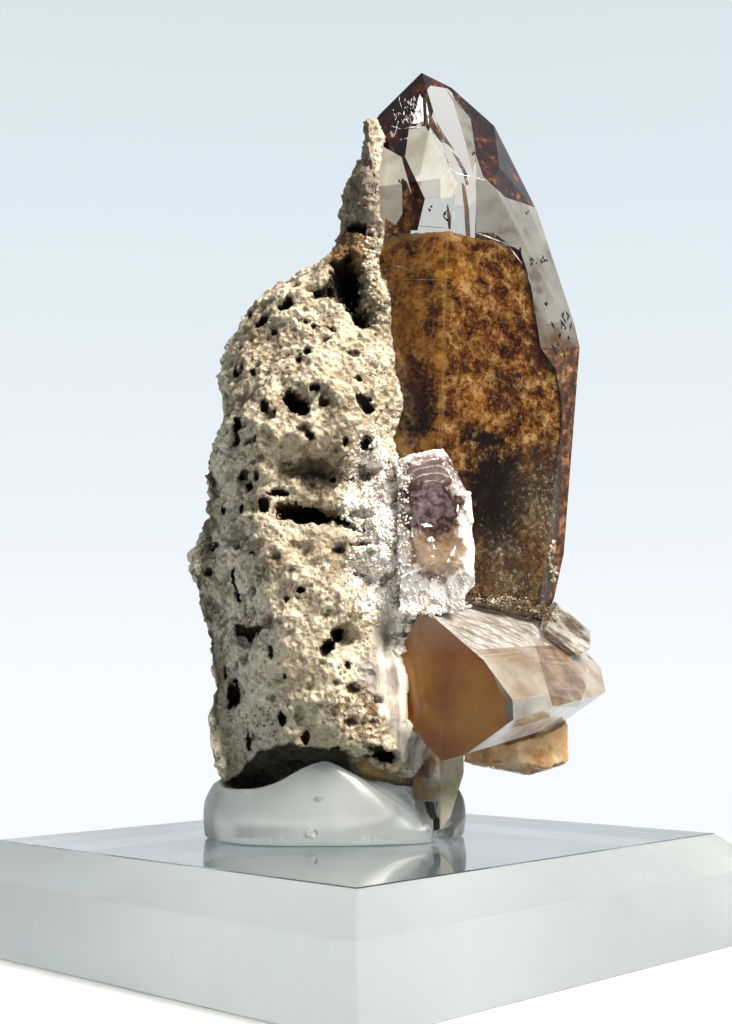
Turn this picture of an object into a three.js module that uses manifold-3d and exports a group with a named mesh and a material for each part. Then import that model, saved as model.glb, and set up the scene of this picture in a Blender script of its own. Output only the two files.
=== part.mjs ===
// Sherry topaz crystals grown in pitted rhyolite, seated in a pad of clear gel on a bevelled acrylic block.
// Millimetres, +Z up. The origin is the centre of the block's underside, and its sides lie along X and Y.
// The specimen is modelled facing -Y, with X to its right, and its group is then turned on the block.

import * as THREE from "three";
import { ConvexGeometry } from "three/addons/geometries/ConvexGeometry.js";
import { ImprovedNoise } from "three/addons/math/ImprovedNoise.js";
import { mergeVertices } from "three/addons/utils/BufferGeometryUtils.js";
import Module from "manifold-3d";

// Driving dimensions.
const BASE_SIDE = 50.8;
const BASE_THICKNESS = 9.0;
const BEVEL_INSET = 3.1;
const BEVEL_DROP = 2.8;
const SPECIMEN_TURN = 44.5;
const CLEARANCE = 0.3;

// Topaz is orthorhombic. These are the angles between the a axis and the normals of its two common prisms.
const PRISM_110 = 27.9;
const PRISM_120 = 46.6;

const wasm = await Module();
wasm.setup();

// ---- Solids and booleans ----

function solidOf(geometry) {
  const bare = geometry.clone();
  bare.deleteAttribute("normal");
  bare.deleteAttribute("uv");
  const merged = mergeVertices(bare, 1e-4);
  const mesh = new wasm.Mesh({
    numProp: 3,
    vertProperties: new Float32Array(merged.attributes.position.array),
    triVerts: new Uint32Array(merged.index.array),
  });
  return new wasm.Manifold(mesh);
}

function geometryOf(solid) {
  const mesh = solid.getMesh();
  const geometry = new THREE.BufferGeometry();
  geometry.setAttribute("position", new THREE.BufferAttribute(new Float32Array(mesh.vertProperties), 3));
  geometry.setIndex(new THREE.BufferAttribute(new Uint32Array(mesh.triVerts), 1));
  const faceted = geometry.toNonIndexed();
  faceted.computeVertexNormals();
  return faceted;
}

// The largest body of a solid: a cut can leave a loose sliver, which has broken away.
function mainBody(solid) {
  const bodies = solid.decompose();
  return bodies.reduce((largest, body) => (body.volume() > largest.volume() ? body : largest));
}

function cutAway(solid, ...tools) {
  return mainBody(tools.reduce((left, tool) => left.subtract(tool), solid));
}

function addPiece(group, name, solid, material) {
  const mesh = new THREE.Mesh(geometryOf(solid), material);
  mesh.name = name;
  group.add(mesh);
}

// ---- Crystals: convex bodies bounded by flat faces ----

// A face of a crystal whose c axis is its local Z. Turn is the way it faces round that axis, from local X.
// Lean tilts it towards the tip, so a prism face has none. Both are in degrees. Reach is its distance from
// the local origin.
function face(turn, lean, reach) {
  const round = THREE.MathUtils.degToRad(turn);
  const tilt = THREE.MathUtils.degToRad(lean);
  const normal = new THREE.Vector3(
    Math.cos(round) * Math.cos(tilt),
    Math.sin(round) * Math.cos(tilt),
    Math.sin(tilt),
  );
  return { normal, reach };
}

// A face given by how steep its edge looks from the front, and by a point (across, up) of the middle plane.
function outlineFace(turn, slope, across, up) {
  const steepness = THREE.MathUtils.degToRad(slope);
  const sideways = Math.abs(Math.cos(THREE.MathUtils.degToRad(turn)));
  const polar = Math.atan2(Math.sin(steepness), Math.cos(steepness) * sideways);
  const made = face(turn, 90 - THREE.MathUtils.radToDeg(polar), 0);
  made.reach = made.normal.dot(new THREE.Vector3(across, 0, up));
  return made;
}

const PARALLEL = 1e-4;
const ON_A_FACE = 1e-5;
const SAME_CORNER = 2e-3;

// The point where three faces meet, each moved out by swell. There is none where two of them are parallel.
function meetingPoint(p, q, r, swell) {
  const point = new THREE.Vector3().crossVectors(q.normal, r.normal);
  const share = p.normal.dot(point);
  if (Math.abs(share) < PARALLEL) return null;
  point.multiplyScalar(p.reach + swell);
  point.addScaledVector(new THREE.Vector3().crossVectors(r.normal, p.normal), q.reach + swell);
  point.addScaledVector(new THREE.Vector3().crossVectors(p.normal, q.normal), r.reach + swell);
  return point.divideScalar(share);
}

// Every corner of the body that the faces bound, each face moved out by swell.
function cornersOf(faces, swell) {
  const corners = [];
  for (let i = 0; i < faces.length; i += 1) {
    for (let j = i + 1; j < faces.length; j += 1) {
      for (let k = j + 1; k < faces.length; k += 1) {
        const point = meetingPoint(faces[i], faces[j], faces[k], swell);
        if (!point) continue;
        const inside = faces.every((f) => f.normal.dot(point) < f.reach + swell + ON_A_FACE);
        const isNew = corners.every((corner) => corner.distanceTo(point) > SAME_CORNER);
        if (inside && isNew) corners.push(point);
      }
    }
  }
  return corners;
}

// A crystal stands at a place, with its c axis along up and its local X turned to lie towards side.
function crystal(faces, place, up, side, swell = 0) {
  const axis = new THREE.Vector3(...up).normalize();
  const y = new THREE.Vector3().crossVectors(axis, new THREE.Vector3(...side)).normalize();
  const x = new THREE.Vector3().crossVectors(y, axis);
  const pose = new THREE.Matrix4().makeBasis(x, y, axis).setPosition(...place);
  return solidOf(new ConvexGeometry(cornersOf(faces, swell)).applyMatrix4(pose));
}

const UP = [0, 0, 1];
const RIGHT = [1, 0, 0];

// The main crystal: its a axis points to the front, b to the right. Its place is in the middle of its length.
// Prism faces come first, then the pyramids over them, the domes and pyramids that step down its right side,
// the left shoulder, and the undercut where the lower crystal grows past it.
const MAIN_PLACE = [7.5, 0, 44];
const MAIN_LEAN = 2.7;
const MAIN_RIGHT = 12.4;
const MAIN_LEFT = 6.6;
const MAIN_PRISM = 6.36;
const MAIN_FACES = [
  face(-90 + PRISM_110, 0, MAIN_PRISM),
  face(-90 - PRISM_110, 0, MAIN_PRISM),
  face(90 - PRISM_110, 0, MAIN_PRISM),
  face(90 + PRISM_110, 0, MAIN_PRISM),
  face(-90, 0.9, 7.19),
  face(90, 0, 7.0),
  outlineFace(-90 + PRISM_120, 93, MAIN_RIGHT, 2),
  outlineFace(90 - PRISM_120, 93, MAIN_RIGHT, 2),
  outlineFace(0, 102, 11.4, -11.5),
  face(180, 0, MAIN_LEFT),
  face(-90 + PRISM_110, 31.3, 17.26),
  face(-90 - PRISM_110, 21.35, 14.01),
  face(90 - PRISM_110, 27, 16.3),
  face(90 + PRISM_110, 25, 15.3),
  outlineFace(0, 19, -2.45, 34.42),
  outlineFace(-30, 43.7, 2.37, 31.7),
  outlineFace(30, 43.7, 2.37, 31.7),
  outlineFace(-35, 62.4, 6.7, 25.4),
  outlineFace(35, 62.4, 6.7, 25.4),
  outlineFace(-40, 70.7, 10.05, 17.6),
  outlineFace(40, 70.7, 10.05, 17.6),
  outlineFace(-43, 76, 12.5, 10.3),
  outlineFace(43, 76, 12.5, 10.3),
  outlineFace(180, 29, -3.7, 33.8),
  outlineFace(-140, 62, -5.9, 31.5),
  outlineFace(140, 62, -5.9, 31.5),
  face(-70, -50, 14.9),
  face(-60, -80, 17.5),
  face(120, -78, 17.5),
];

function mainCrystal(swell) {
  const lean = THREE.MathUtils.degToRad(MAIN_LEAN);
  return crystal(MAIN_FACES, MAIN_PLACE, [Math.sin(lean), 0, Math.cos(lean)], RIGHT, swell);
}

// The lower crystal lies across the front: its c axis runs to the right and away, and its near end is a flat
// basal cleavage. Local X points up and local Y to the front right.
const LOWER_PLACE = [7.38, -9.4, 21.5];
const LOWER_AXIS = [0.67, 0.74, 0.05];
const LOWER_FACES = [
  face(0, -90, 0),
  face(49.7, 0, 5.02),
  face(36, -1, 4.7),
  face(12, -20, 5.6),
  face(90, 0, 7.0),
  face(150, 5, 5.25),
  face(166, 5, 5.22),
  face(-50, 0, 6.0),
  face(-90, 0, 6.2),
  face(-140, 0, 4.6),
  face(49.7, 8, 5.74),
  face(150, 10, 6.15),
  face(33, 52, 16.3),
  face(150, 45, 13.6),
  face(-70, 40, 13.4),
];

// A finger of a smaller crystal lies along the far top edge of the lower one and is grown into it.
const FINGER_PLACE = [19.3, -0.2, 27.2];
const FINGER_AXIS = [0.76, 0.34, -0.6];
const FINGER_FACES = [
  ...[260, 320, 20, 80].map((turn) => face(turn, 0, 0.75)),
  face(140, 0, 2.4),
  face(200, 0, 2.6),
  face(0, -90, 2.6),
  face(30, 55, 1.7),
  face(210, 50, 1.9),
];

function lowerCrystal(swell) {
  const body = crystal(LOWER_FACES, LOWER_PLACE, LOWER_AXIS, UP, swell);
  return body.add(crystal(FINGER_FACES, FINGER_PLACE, FINGER_AXIS, UP, swell));
}

// The middle crystal is a broken stump that leans out of the rock in front of the main one.
const MIDDLE_PLACE = [6.3, -7.6, 35.6];
const MIDDLE_FACES = [
  face(0, 29, 4.55),
  face(0, 0, 3.9),
  face(10, -50, 6.35),
  face(180, 75, 6.2),
  face(150, 35, 6.0),
  face(180, 0, 2.6),
  face(-115, 6, 2.75),
  face(-62, 10, 2.9),
  face(-90, 38, 4.6),
  face(-80, -30, 4.7),
  face(90, 0, 3.4),
  face(0, -90, 6.9),
];

function middleCrystal(swell) {
  return crystal(MIDDLE_FACES, MIDDLE_PLACE, UP, RIGHT, swell);
}

// The rear crystal hangs below and behind the lower one, parallel to the main crystal, and its foot is broken.
const REAR_PLACE = [14.4, 3.6, 20];
const REAR_FACES = [
  face(-90 + PRISM_110, 0, 4.3),
  face(-90 - PRISM_110, 0, 4.4),
  face(90 - PRISM_110, 0, 4.2),
  face(90 + PRISM_110, 0, 4.2),
  face(0, 0, 4.6),
  face(180, 0, 4.7),
  face(-20, -72, 6.2),
  face(200, -78, 5.7),
  face(-100, -70, 6.0),
  face(90, 90, 8),
];

function rearCrystal(swell) {
  return crystal(REAR_FACES, REAR_PLACE, UP, RIGHT, swell);
}

// The foot crystal is a short striated stub under the rock, with its broken tip down in the gel.
const FOOT_PLACE = [7.2, -2.6, 13.2];
const FOOT_FACES = [
  face(-90 + PRISM_110, 0, 1.9),
  face(-90 - PRISM_110, 0, 1.9),
  face(90 - PRISM_110, 0, 2.2),
  face(90 + PRISM_110, 0, 2.2),
  face(0, 0, 2.1),
  face(180, 0, 2.3),
  face(-10, -28, 2.75),
  face(10, -55, 3.1),
  face(190, -55, 3.3),
  face(-90, -70, 3.7),
  face(0, -90, 3.8),
  face(0, 90, 4.2),
];

function footCrystal(swell) {
  return crystal(FOOT_FACES, FOOT_PLACE, UP, RIGHT, swell);
}

// ---- The rhyolite ----

const ROCK_TOP = 74.3;
const ROCK_BOTTOM = 11.2;
const ROCK_COLUMNS = 52;
const ROCK_ROWS = 45;
const ROCK_SQUARENESS = 2.4;
const ROCK_END_ROUNDING = 2.0;

// How far the rock reaches at each height: [height, left, right, front, back].
const ROCK_REACH = [
  [11.2, -11.6, 6.0, -5.6, 6.0],
  [14.6, -12.2, 6.8, -6.4, 7.0],
  [16.0, -12.5, 7.0, -8.4, 7.4],
  [20.0, -12.8, 8.0, -8.9, 8.0],
  [23.5, -13.2, 7.6, -9.2, 8.4],
  [26.0, -13.5, 7.0, -9.2, 8.6],
  [31.7, -14.3, 6.4, -9.4, 9.2],
  [33.6, -14.6, 6.2, -9.4, 9.2],
  [36.0, -13.9, 6.2, -9.2, 9.2],
  [38.4, -12.8, 6.2, -9.2, 9.0],
  [42.5, -13.3, 5.6, -9.4, 9.0],
  [46.0, -12.4, 5.0, -9.4, 8.8],
  [51.4, -12.0, 5.0, -8.4, 8.0],
  [53.2, -11.6, 5.0, -7.6, 7.4],
  [55.9, -9.7, 5.0, -6.6, 6.6],
  [57.2, -8.2, 5.0, -6.3, 6.2],
  [58.6, -5.7, 5.0, -6.2, 6.0],
  [60.2, -3.0, 5.0, -6.1, 5.8],
  [61.5, -1.9, 5.0, -6.1, 5.6],
  [66.0, -0.8, 5.0, -6.0, 5.2],
  [68.5, 0.0, 4.8, -5.3, 4.8],
  [70.8, 0.8, 4.6, -4.8, 4.4],
  [72.9, 1.3, 4.2, -4.4, 3.8],
  [74.3, 2.3, 4.0, -3.8, 3.2],
];

// Broad lumps and hollows: where, how wide and how far out, or in where the rise is negative.
const ROCK_LUMPS = [
  { at: [-4, -9, 46], spread: 6, rise: 0.9 },
  { at: [-2, -9, 31], spread: 4, rise: 1.3 },
  { at: [-4, -9, 37], spread: 2.4, rise: -1.5 },
  { at: [-14, -2, 34], spread: 2.2, rise: 0.7 },
  { at: [-11, -6, 38.5], spread: 2.8, rise: -0.9 },
  { at: [-9, -7, 29], spread: 3.2, rise: -0.6 },
  { at: [1, -9, 19], spread: 3.6, rise: 0.8 },
  { at: [-6, 9, 30], spread: 6, rise: 0.8 },
  { at: [-2, 9, 48], spread: 5, rise: 0.7 },
  { at: [-8, 8, 40], spread: 3, rise: -0.9 },
  { at: [-5, 8, 20], spread: 3, rise: -0.8 },
  { at: [6, 5, 23], spread: 5, rise: 4.5 },
];

// The underside is hollowed where the gel holds it and comes down to the foot crystal: [across, height].
const ROCK_UNDERSIDE = [
  [-12, -0.6],
  [-10, 0.4],
  [-4.9, 3.0],
  [-1.4, 3.8],
  [3.9, 1.4],
  [7, -0.6],
];
const UNDERSIDE_FADE = 6;

function along(table, at, column) {
  const next = table.findIndex((row) => row[0] >= at);
  if (next < 0) return table[table.length - 1][column];
  if (next === 0) return table[0][column];
  const [low, high] = [table[next - 1], table[next]];
  const share = (at - low[0]) / (high[0] - low[0]);
  return THREE.MathUtils.lerp(low[column], high[column], share);
}

// The reaches above are those of the highest points, and the surface between them lies a little lower.
const ROCK_SETBACK = 0.45;
const BROAD_ROUGHNESS = { size: 5.5, rise: 1.2, offset: [3, 0, 0] };
const FINE_ROUGHNESS = { size: 2.1, rise: 0.6, offset: [0, 7, 0] };
const noise = new ImprovedNoise();

function roughness(p, { size, rise, offset }) {
  const q = p.clone().divideScalar(size).add(new THREE.Vector3(...offset));
  return rise * noise.noise(q.x, q.y, q.z);
}

function lumpRise(p, { at, spread, rise }) {
  const away = p.distanceTo(new THREE.Vector3(...at)) / spread;
  return rise * Math.exp(-(away ** 2));
}

// The distance from the middle to the edge of a rounded rectangle, along the bearing of (cos, sin).
function superellipse(cos, sin, wide, deep) {
  const sum = (Math.abs(cos) / wide) ** ROCK_SQUARENESS + (Math.abs(sin) / deep) ** ROCK_SQUARENESS;
  return sum ** (-1 / ROCK_SQUARENESS);
}

// A point of the rock's surface, given its height and its bearing: degrees, 0 to the right, -90 to the front.
function rockPoint(bearing, height, swell = 0) {
  const round = THREE.MathUtils.degToRad(bearing);
  const [cos, sin] = [Math.cos(round), Math.sin(round)];
  const [left, right, front, back] = [1, 2, 3, 4].map((column) => along(ROCK_REACH, height, column));
  const centre = (left + right) / 2;
  const radius = superellipse(cos, sin, (right - left) / 2, sin < 0 ? -front : back);
  const smooth = new THREE.Vector3(centre + radius * cos, radius * sin, height);
  const rough = roughness(smooth, BROAD_ROUGHNESS) + roughness(smooth, FINE_ROUGHNESS) - ROCK_SETBACK;
  const lumps = ROCK_LUMPS.reduce((sum, lump) => sum + lumpRise(smooth, lump), 0);
  const toEnd = Math.min(ROCK_TOP - height, height - ROCK_BOTTOM);
  const closing = Math.min(1, Math.sqrt(Math.max(0, toEnd) / ROCK_END_ROUNDING));
  const reach = (radius + rough + lumps + swell) * closing;
  const point = new THREE.Vector3(centre + reach * cos, reach * sin, height);
  const fade = Math.max(0, 1 - (height - ROCK_BOTTOM) / UNDERSIDE_FADE);
  point.z += along(ROCK_UNDERSIDE, point.x, 1) * fade;
  return point;
}

function rockBody(swell) {
  const shell = new THREE.SphereGeometry(1, ROCK_COLUMNS, ROCK_ROWS).rotateX(Math.PI / 2);
  const position = shell.attributes.position;
  const [low, high] = [ROCK_BOTTOM - swell, ROCK_TOP + swell];
  for (let i = 0; i < position.count; i += 1) {
    const polar = Math.acos(THREE.MathUtils.clamp(position.getZ(i), -1, 1));
    const bearing = THREE.MathUtils.radToDeg(Math.atan2(position.getY(i), position.getX(i)));
    const share = 1 - polar / Math.PI;
    const height = THREE.MathUtils.lerp(ROCK_BOTTOM, ROCK_TOP, share);
    const point = rockPoint(bearing, height, swell);
    point.z += THREE.MathUtils.lerp(low, high, share) - height;
    position.setXYZ(i, point.x, point.y, point.z);
  }
  return solidOf(shell);
}

// Vesicles and clefts, ellipsoids sunk into the surface: [bearing, height, half width, half height, depth].
const ROCK_PITS = [
  [-93, 46.2, 1.3, 1.1, 1.7],
  [-82, 46.9, 0.6, 0.5, 0.7],
  [-133, 43.7, 0.6, 1.6, 1.0],
  [-60, 42.8, 0.6, 0.8, 0.9],
  [-57, 46.6, 0.5, 0.6, 0.7],
  [-132, 39.4, 0.6, 0.9, 0.8],
  [-124, 37.3, 0.7, 0.7, 0.8],
  [-90, 36.6, 3.0, 0.8, 1.6],
  [-62, 36.4, 1.4, 0.8, 1.2],
  [-74, 26.2, 1.2, 1.0, 1.3],
  [-79, 25.4, 0.8, 0.7, 1.0],
  [-129, 26.4, 1.2, 0.9, 0.8],
  [-144, 21.9, 0.8, 1.7, 1.2],
  [-120, 18.4, 0.5, 1.1, 0.7],
  [-105, 19.6, 0.5, 1.3, 0.7],
  [-70, 56.9, 1.2, 2.4, 1.8],
  [-105, 56.6, 1.0, 0.6, 0.8],
  [-140, 55.4, 0.9, 0.8, 0.8],
  [-52, 15.4, 1.4, 0.8, 1.4],
  [-125, 49.7, 0.6, 0.5, 0.6],
  [-112, 41.0, 0.6, 0.6, 0.6],
  [-50, 31.0, 0.8, 0.6, 0.8],
];

// More of them on the sides and back, at bearings a golden angle apart and in four sizes.
const GOLDEN_ANGLE = 137.5;
const SPREAD_PITS = 18;
const SPREAD_BEARINGS = { first: 60, span: 160 };
const SPREAD_HEIGHTS = { first: 17, span: 40, step: 7.9 };
const SPREAD_SIZES = [0.55, 0.8, 1.05, 1.3];

function spreadPits() {
  return Array.from({ length: SPREAD_PITS }, (_, i) => {
    const bearing = SPREAD_BEARINGS.first + ((i * GOLDEN_ANGLE) % SPREAD_BEARINGS.span);
    const height = SPREAD_HEIGHTS.first + ((i * SPREAD_HEIGHTS.step) % SPREAD_HEIGHTS.span);
    const size = SPREAD_SIZES[i % SPREAD_SIZES.length];
    return [bearing, height, size, size, size];
  });
}

function pit([bearing, height, halfWidth, halfHeight, depth]) {
  const at = rockPoint(bearing, height);
  const round = THREE.MathUtils.degToRad(bearing);
  const hollow = new THREE.IcosahedronGeometry(1, 1).scale(depth, halfWidth, halfHeight).rotateZ(round);
  return solidOf(hollow.translate(at.x, at.y, at.z));
}

// ---- The gel pad and the acrylic block ----

// The gel's centre is at its widest height.
const GEL_CENTRE = [-1.9, -0.3, 10.9];
const GEL_HALF = [11.6, 6.9, 5.2];
const GEL_SQUARENESS = 2.6;
const GEL_WOBBLE = { size: 0.5, rise: 0.05, offset: [5, 0, 0] };
const GEL_COLUMNS = 32;
const GEL_ROWS = 12;

// A pressed lump: a rounded pad whose underside lies flat on the block.
function gelBody() {
  const pad = new THREE.SphereGeometry(1, GEL_COLUMNS, GEL_ROWS).rotateX(Math.PI / 2);
  const position = pad.attributes.position;
  const p = new THREE.Vector3();
  for (let i = 0; i < position.count; i += 1) {
    p.fromBufferAttribute(position, i);
    const sum = Math.hypot(p.x, p.y) ** GEL_SQUARENESS + Math.abs(p.z) ** GEL_SQUARENESS;
    p.multiplyScalar(sum ** (-1 / GEL_SQUARENESS));
    const wobble = 1 + roughness(new THREE.Vector3(p.x, p.y, GEL_WOBBLE.size), GEL_WOBBLE);
    p.multiply(new THREE.Vector3(GEL_HALF[0] * wobble, GEL_HALF[1] * wobble, GEL_HALF[2]));
    p.add(new THREE.Vector3(...GEL_CENTRE));
    position.setXYZ(i, p.x, p.y, Math.max(BASE_THICKNESS + CLEARANCE, p.z));
  }
  return solidOf(pad);
}

// The block: a square slab whose top edges are bevelled.
function acrylicBase() {
  const half = BASE_SIDE / 2;
  const corners = [];
  for (const x of [-1, 1]) {
    for (const y of [-1, 1]) {
      corners.push(new THREE.Vector3(x * half, y * half, 0));
      corners.push(new THREE.Vector3(x * half, y * half, BASE_THICKNESS - BEVEL_DROP));
      corners.push(new THREE.Vector3(x * (half - BEVEL_INSET), y * (half - BEVEL_INSET), BASE_THICKNESS));
    }
  }
  return solidOf(new ConvexGeometry(corners));
}

// ---- Materials ----

const clearAcrylic = new THREE.MeshStandardMaterial({ color: 0xdfe8ec, roughness: 0.05, metalness: 0 });
const clearGel = new THREE.MeshStandardMaterial({ color: 0xdadcd8, roughness: 0.15, metalness: 0 });
const rhyolite = new THREE.MeshStandardMaterial({ color: 0xcdbfa3, roughness: 0.95, metalness: 0 });
const brownTopaz = new THREE.MeshStandardMaterial({ color: 0x8a5526, roughness: 0.06, metalness: 0 });
const peachTopaz = new THREE.MeshStandardMaterial({ color: 0xb98458, roughness: 0.12, metalness: 0 });
const brokenTopaz = new THREE.MeshStandardMaterial({ color: 0xcdb8ae, roughness: 0.2, metalness: 0 });
const tanTopaz = new THREE.MeshStandardMaterial({ color: 0xc79a63, roughness: 0.2, metalness: 0 });
const greyTopaz = new THREE.MeshStandardMaterial({ color: 0x9c8a6a, roughness: 0.15, metalness: 0 });

// ---- Assembly ----

const lower = lowerCrystal(0);
const main = cutAway(mainCrystal(0), lowerCrystal(CLEARANCE));
const middle = cutAway(middleCrystal(0), mainCrystal(CLEARANCE), lowerCrystal(CLEARANCE));
const rear = cutAway(rearCrystal(0), lowerCrystal(CLEARANCE), mainCrystal(CLEARANCE));
const foot = cutAway(footCrystal(0), lowerCrystal(CLEARANCE), rearCrystal(CLEARANCE));

const grown = [mainCrystal, lowerCrystal, middleCrystal, rearCrystal, footCrystal];
const sockets = grown.map((grow) => grow(CLEARANCE));
const pits = [...ROCK_PITS, ...spreadPits()].map(pit);
const rock = cutAway(rockBody(0), ...pits, ...sockets);
const gel = cutAway(gelBody(), rockBody(CLEARANCE), footCrystal(CLEARANCE), lowerCrystal(CLEARANCE));

const specimen = new THREE.Group();
specimen.rotation.z = THREE.MathUtils.degToRad(SPECIMEN_TURN);
addPiece(specimen, "gel_pad", gel, clearGel);
addPiece(specimen, "rhyolite_matrix", rock, rhyolite);
addPiece(specimen, "main_crystal", main, brownTopaz);
addPiece(specimen, "lower_crystal", lower, peachTopaz);
addPiece(specimen, "middle_crystal", middle, brokenTopaz);
addPiece(specimen, "rear_crystal", rear, tanTopaz);
addPiece(specimen, "foot_crystal", foot, greyTopaz);

const topaz = new THREE.Group();
addPiece(topaz, "acrylic_base", acrylicBase(), clearAcrylic);
topaz.add(specimen);

export default topaz;
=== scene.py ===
# %% [markdown]
# # Topaz crystals in rhyolite, on a clear acrylic block
# The specimen is a tall sherry-brown topaz with four smaller crystals, grown in a lump of pale, pitted
# rhyolite. A pad of clear gel holds it on a square acrylic block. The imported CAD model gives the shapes
# and the places. This script gives each piece the surface and the material of the real one.

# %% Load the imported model
import math

import bmesh
import bpy
import numpy as np
from mathutils import Matrix, Vector, noise
from mathutils.bvhtree import BVHTree


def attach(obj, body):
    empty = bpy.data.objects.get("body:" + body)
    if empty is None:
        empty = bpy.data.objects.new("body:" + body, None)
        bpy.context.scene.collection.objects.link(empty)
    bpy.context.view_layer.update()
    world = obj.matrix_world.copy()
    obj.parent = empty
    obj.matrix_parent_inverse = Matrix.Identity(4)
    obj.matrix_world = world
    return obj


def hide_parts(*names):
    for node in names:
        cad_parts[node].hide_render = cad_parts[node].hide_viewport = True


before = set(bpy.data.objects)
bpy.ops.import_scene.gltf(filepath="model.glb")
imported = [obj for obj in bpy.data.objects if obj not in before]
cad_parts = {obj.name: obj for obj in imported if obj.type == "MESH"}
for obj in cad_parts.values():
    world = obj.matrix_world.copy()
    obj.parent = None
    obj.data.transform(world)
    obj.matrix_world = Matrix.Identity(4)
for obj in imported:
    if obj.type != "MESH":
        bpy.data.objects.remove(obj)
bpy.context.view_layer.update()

print("nodes:", ", ".join(sorted(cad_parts)))

# %% [markdown]
# ## Directions
# The specimen is turned on its block, so it has directions of its own: right, away and up, as someone who
# faces it sees them. Every place on it below is given in those directions and in millimetres.

# %% Directions of the specimen
MM = 0.001
SPECIMEN_TURN = math.radians(44.5)
RIGHT = Vector((math.cos(SPECIMEN_TURN), math.sin(SPECIMEN_TURN), 0))
AWAY = Vector((-math.sin(SPECIMEN_TURN), math.cos(SPECIMEN_TURN), 0))
UP = Vector((0, 0, 1))
DIRECTIONS = np.array([RIGHT, AWAY, UP])


def place(right, away, up):
    """A point of the specimen in millimetres, as a point of the scene in metres."""
    return (RIGHT * right + AWAY * away + UP * up) * MM


print("right is", [round(v, 3) for v in RIGHT], "and away is", [round(v, 3) for v in AWAY])

# %% [markdown]
# ## Camera
# The camera stands a hand's width in front of one corner of the block, just above it, and looks slightly
# up. A 52 mm lens on a 36 mm sensor gives the mild perspective of a close portrait.

# %% Camera
CAMERA_PLACE = (93.065, -93.067, 23.017)
CAMERA_AZIMUTH = 0.777020
CAMERA_PITCH = 0.110753
CAMERA_ROLL = -0.008684
FOCAL_LENGTH = 51.74

level_ahead = Vector((-math.sin(CAMERA_AZIMUTH), math.cos(CAMERA_AZIMUTH), 0))
level_right = Vector((math.cos(CAMERA_AZIMUTH), math.sin(CAMERA_AZIMUTH), 0))
ahead = level_ahead * math.cos(CAMERA_PITCH) + UP * math.sin(CAMERA_PITCH)
level_up = UP * math.cos(CAMERA_PITCH) - level_ahead * math.sin(CAMERA_PITCH)
camera_right = level_right * math.cos(CAMERA_ROLL) + level_up * math.sin(CAMERA_ROLL)
camera_up = level_up * math.cos(CAMERA_ROLL) - level_right * math.sin(CAMERA_ROLL)

camera = bpy.data.objects.new("camera", bpy.data.cameras.new("camera"))
turn = Matrix((camera_right, camera_up, -ahead)).transposed().to_4x4()
camera.matrix_world = Matrix.Translation(Vector(CAMERA_PLACE) * MM) @ turn
camera.data.lens = FOCAL_LENGTH
camera.data.clip_start = 0.005
bpy.context.scene.collection.objects.link(camera)
bpy.context.scene.camera = camera
print("camera stands", round((camera.location.xy.length) * 1000), "mm from the middle of the block")

# %% [markdown]
# ## Colours and nodes
# Colours are written as the hex values that a paint program shows. Those are sRGB, and Blender's shaders
# work on linear light, so one function turns them. Another adds a node to any node tree: a value that is a
# node or a socket is linked, and any other is set on the socket itself.

# %% Helpers for colours and nodes
def linear(code):
    """An sRGB hex colour as linear red, green, blue and alpha."""
    values = [int(code[i : i + 2], 16) / 255 for i in (1, 3, 5)]
    return [v / 12.92 if v <= 0.04045 else ((v + 0.055) / 1.055) ** 2.4 for v in values] + [1.0]


def add(tree, kind, inputs=None, stops=None, **settings):
    """Adds a node with its settings, its inputs and, on a colour ramp, its (position, colour) stops."""
    node = tree.nodes.new(kind)
    for name, value in settings.items():
        setattr(node, name, value)
    if stops:
        ramp = node.color_ramp.elements
        while len(ramp) < len(stops):
            ramp.new(1.0)
        for element, (position, colour) in zip(ramp, stops):
            element.position = position
            element.color = linear(colour)
    for name, value in (inputs or {}).items():
        if isinstance(name, int):
            socket = node.inputs[name]
        else:
            socket = next(s for s in node.inputs if s.enabled and s.name == name)
        if isinstance(value, bpy.types.Node):
            value = next(s for s in value.outputs if s.enabled)
        if isinstance(value, bpy.types.NodeSocket):
            tree.links.new(value, socket)
        else:
            socket.default_value = value
    return node


print("cream is", [round(v, 2) for v in linear("#d8cdb4")[:3]], "in linear light")

# %% [markdown]
# ### Materials
# Every material here has one Principled shader, and its patterns are placed in millimetres of the specimen:
# a noise of scale 0.5 has waves 2 mm long. Many finishes are one noise that wanders between a few colours.
# Others are a colour with layers painted over it, each as opaque as its mask says. What light bends by as it
# enters, the IOR, is known for each mineral and plastic.

# %% Helpers for materials
TOPAZ_IOR = 1.62
QUARTZ_IOR = 1.54
ACRYLIC_IOR = 1.49
GEL_IOR = 1.41


def new_material(name, absorbs=None, **shader_values):
    """A material with one Principled shader, and inside what it covers, an absorbing colour and density.
    Gives the material, its tree, the shader and its coordinates: millimetres of the specimen."""
    material = bpy.data.materials.new(name)
    material.use_nodes = True
    tree = material.node_tree
    tree.nodes.clear()
    values = {key.replace("_", " "): value for key, value in shader_values.items()}
    shader = add(tree, "ShaderNodeBsdfPrincipled", values)
    output = add(tree, "ShaderNodeOutputMaterial", {"Surface": shader})
    if absorbs:
        inside = {"Color": linear(absorbs[0]), "Density": absorbs[1]}
        volume = add(tree, "ShaderNodeVolumeAbsorption", inside)
        tree.links.new(volume.outputs[0], output.inputs["Volume"])
    texture_place = add(tree, "ShaderNodeTexCoord").outputs["Object"]
    in_mm = {"Vector": texture_place, "Scale": (1 / MM,) * 3, "Rotation": (0, 0, -SPECIMEN_TURN)}
    return material, tree, shader, add(tree, "ShaderNodeMapping", in_mm)


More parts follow.
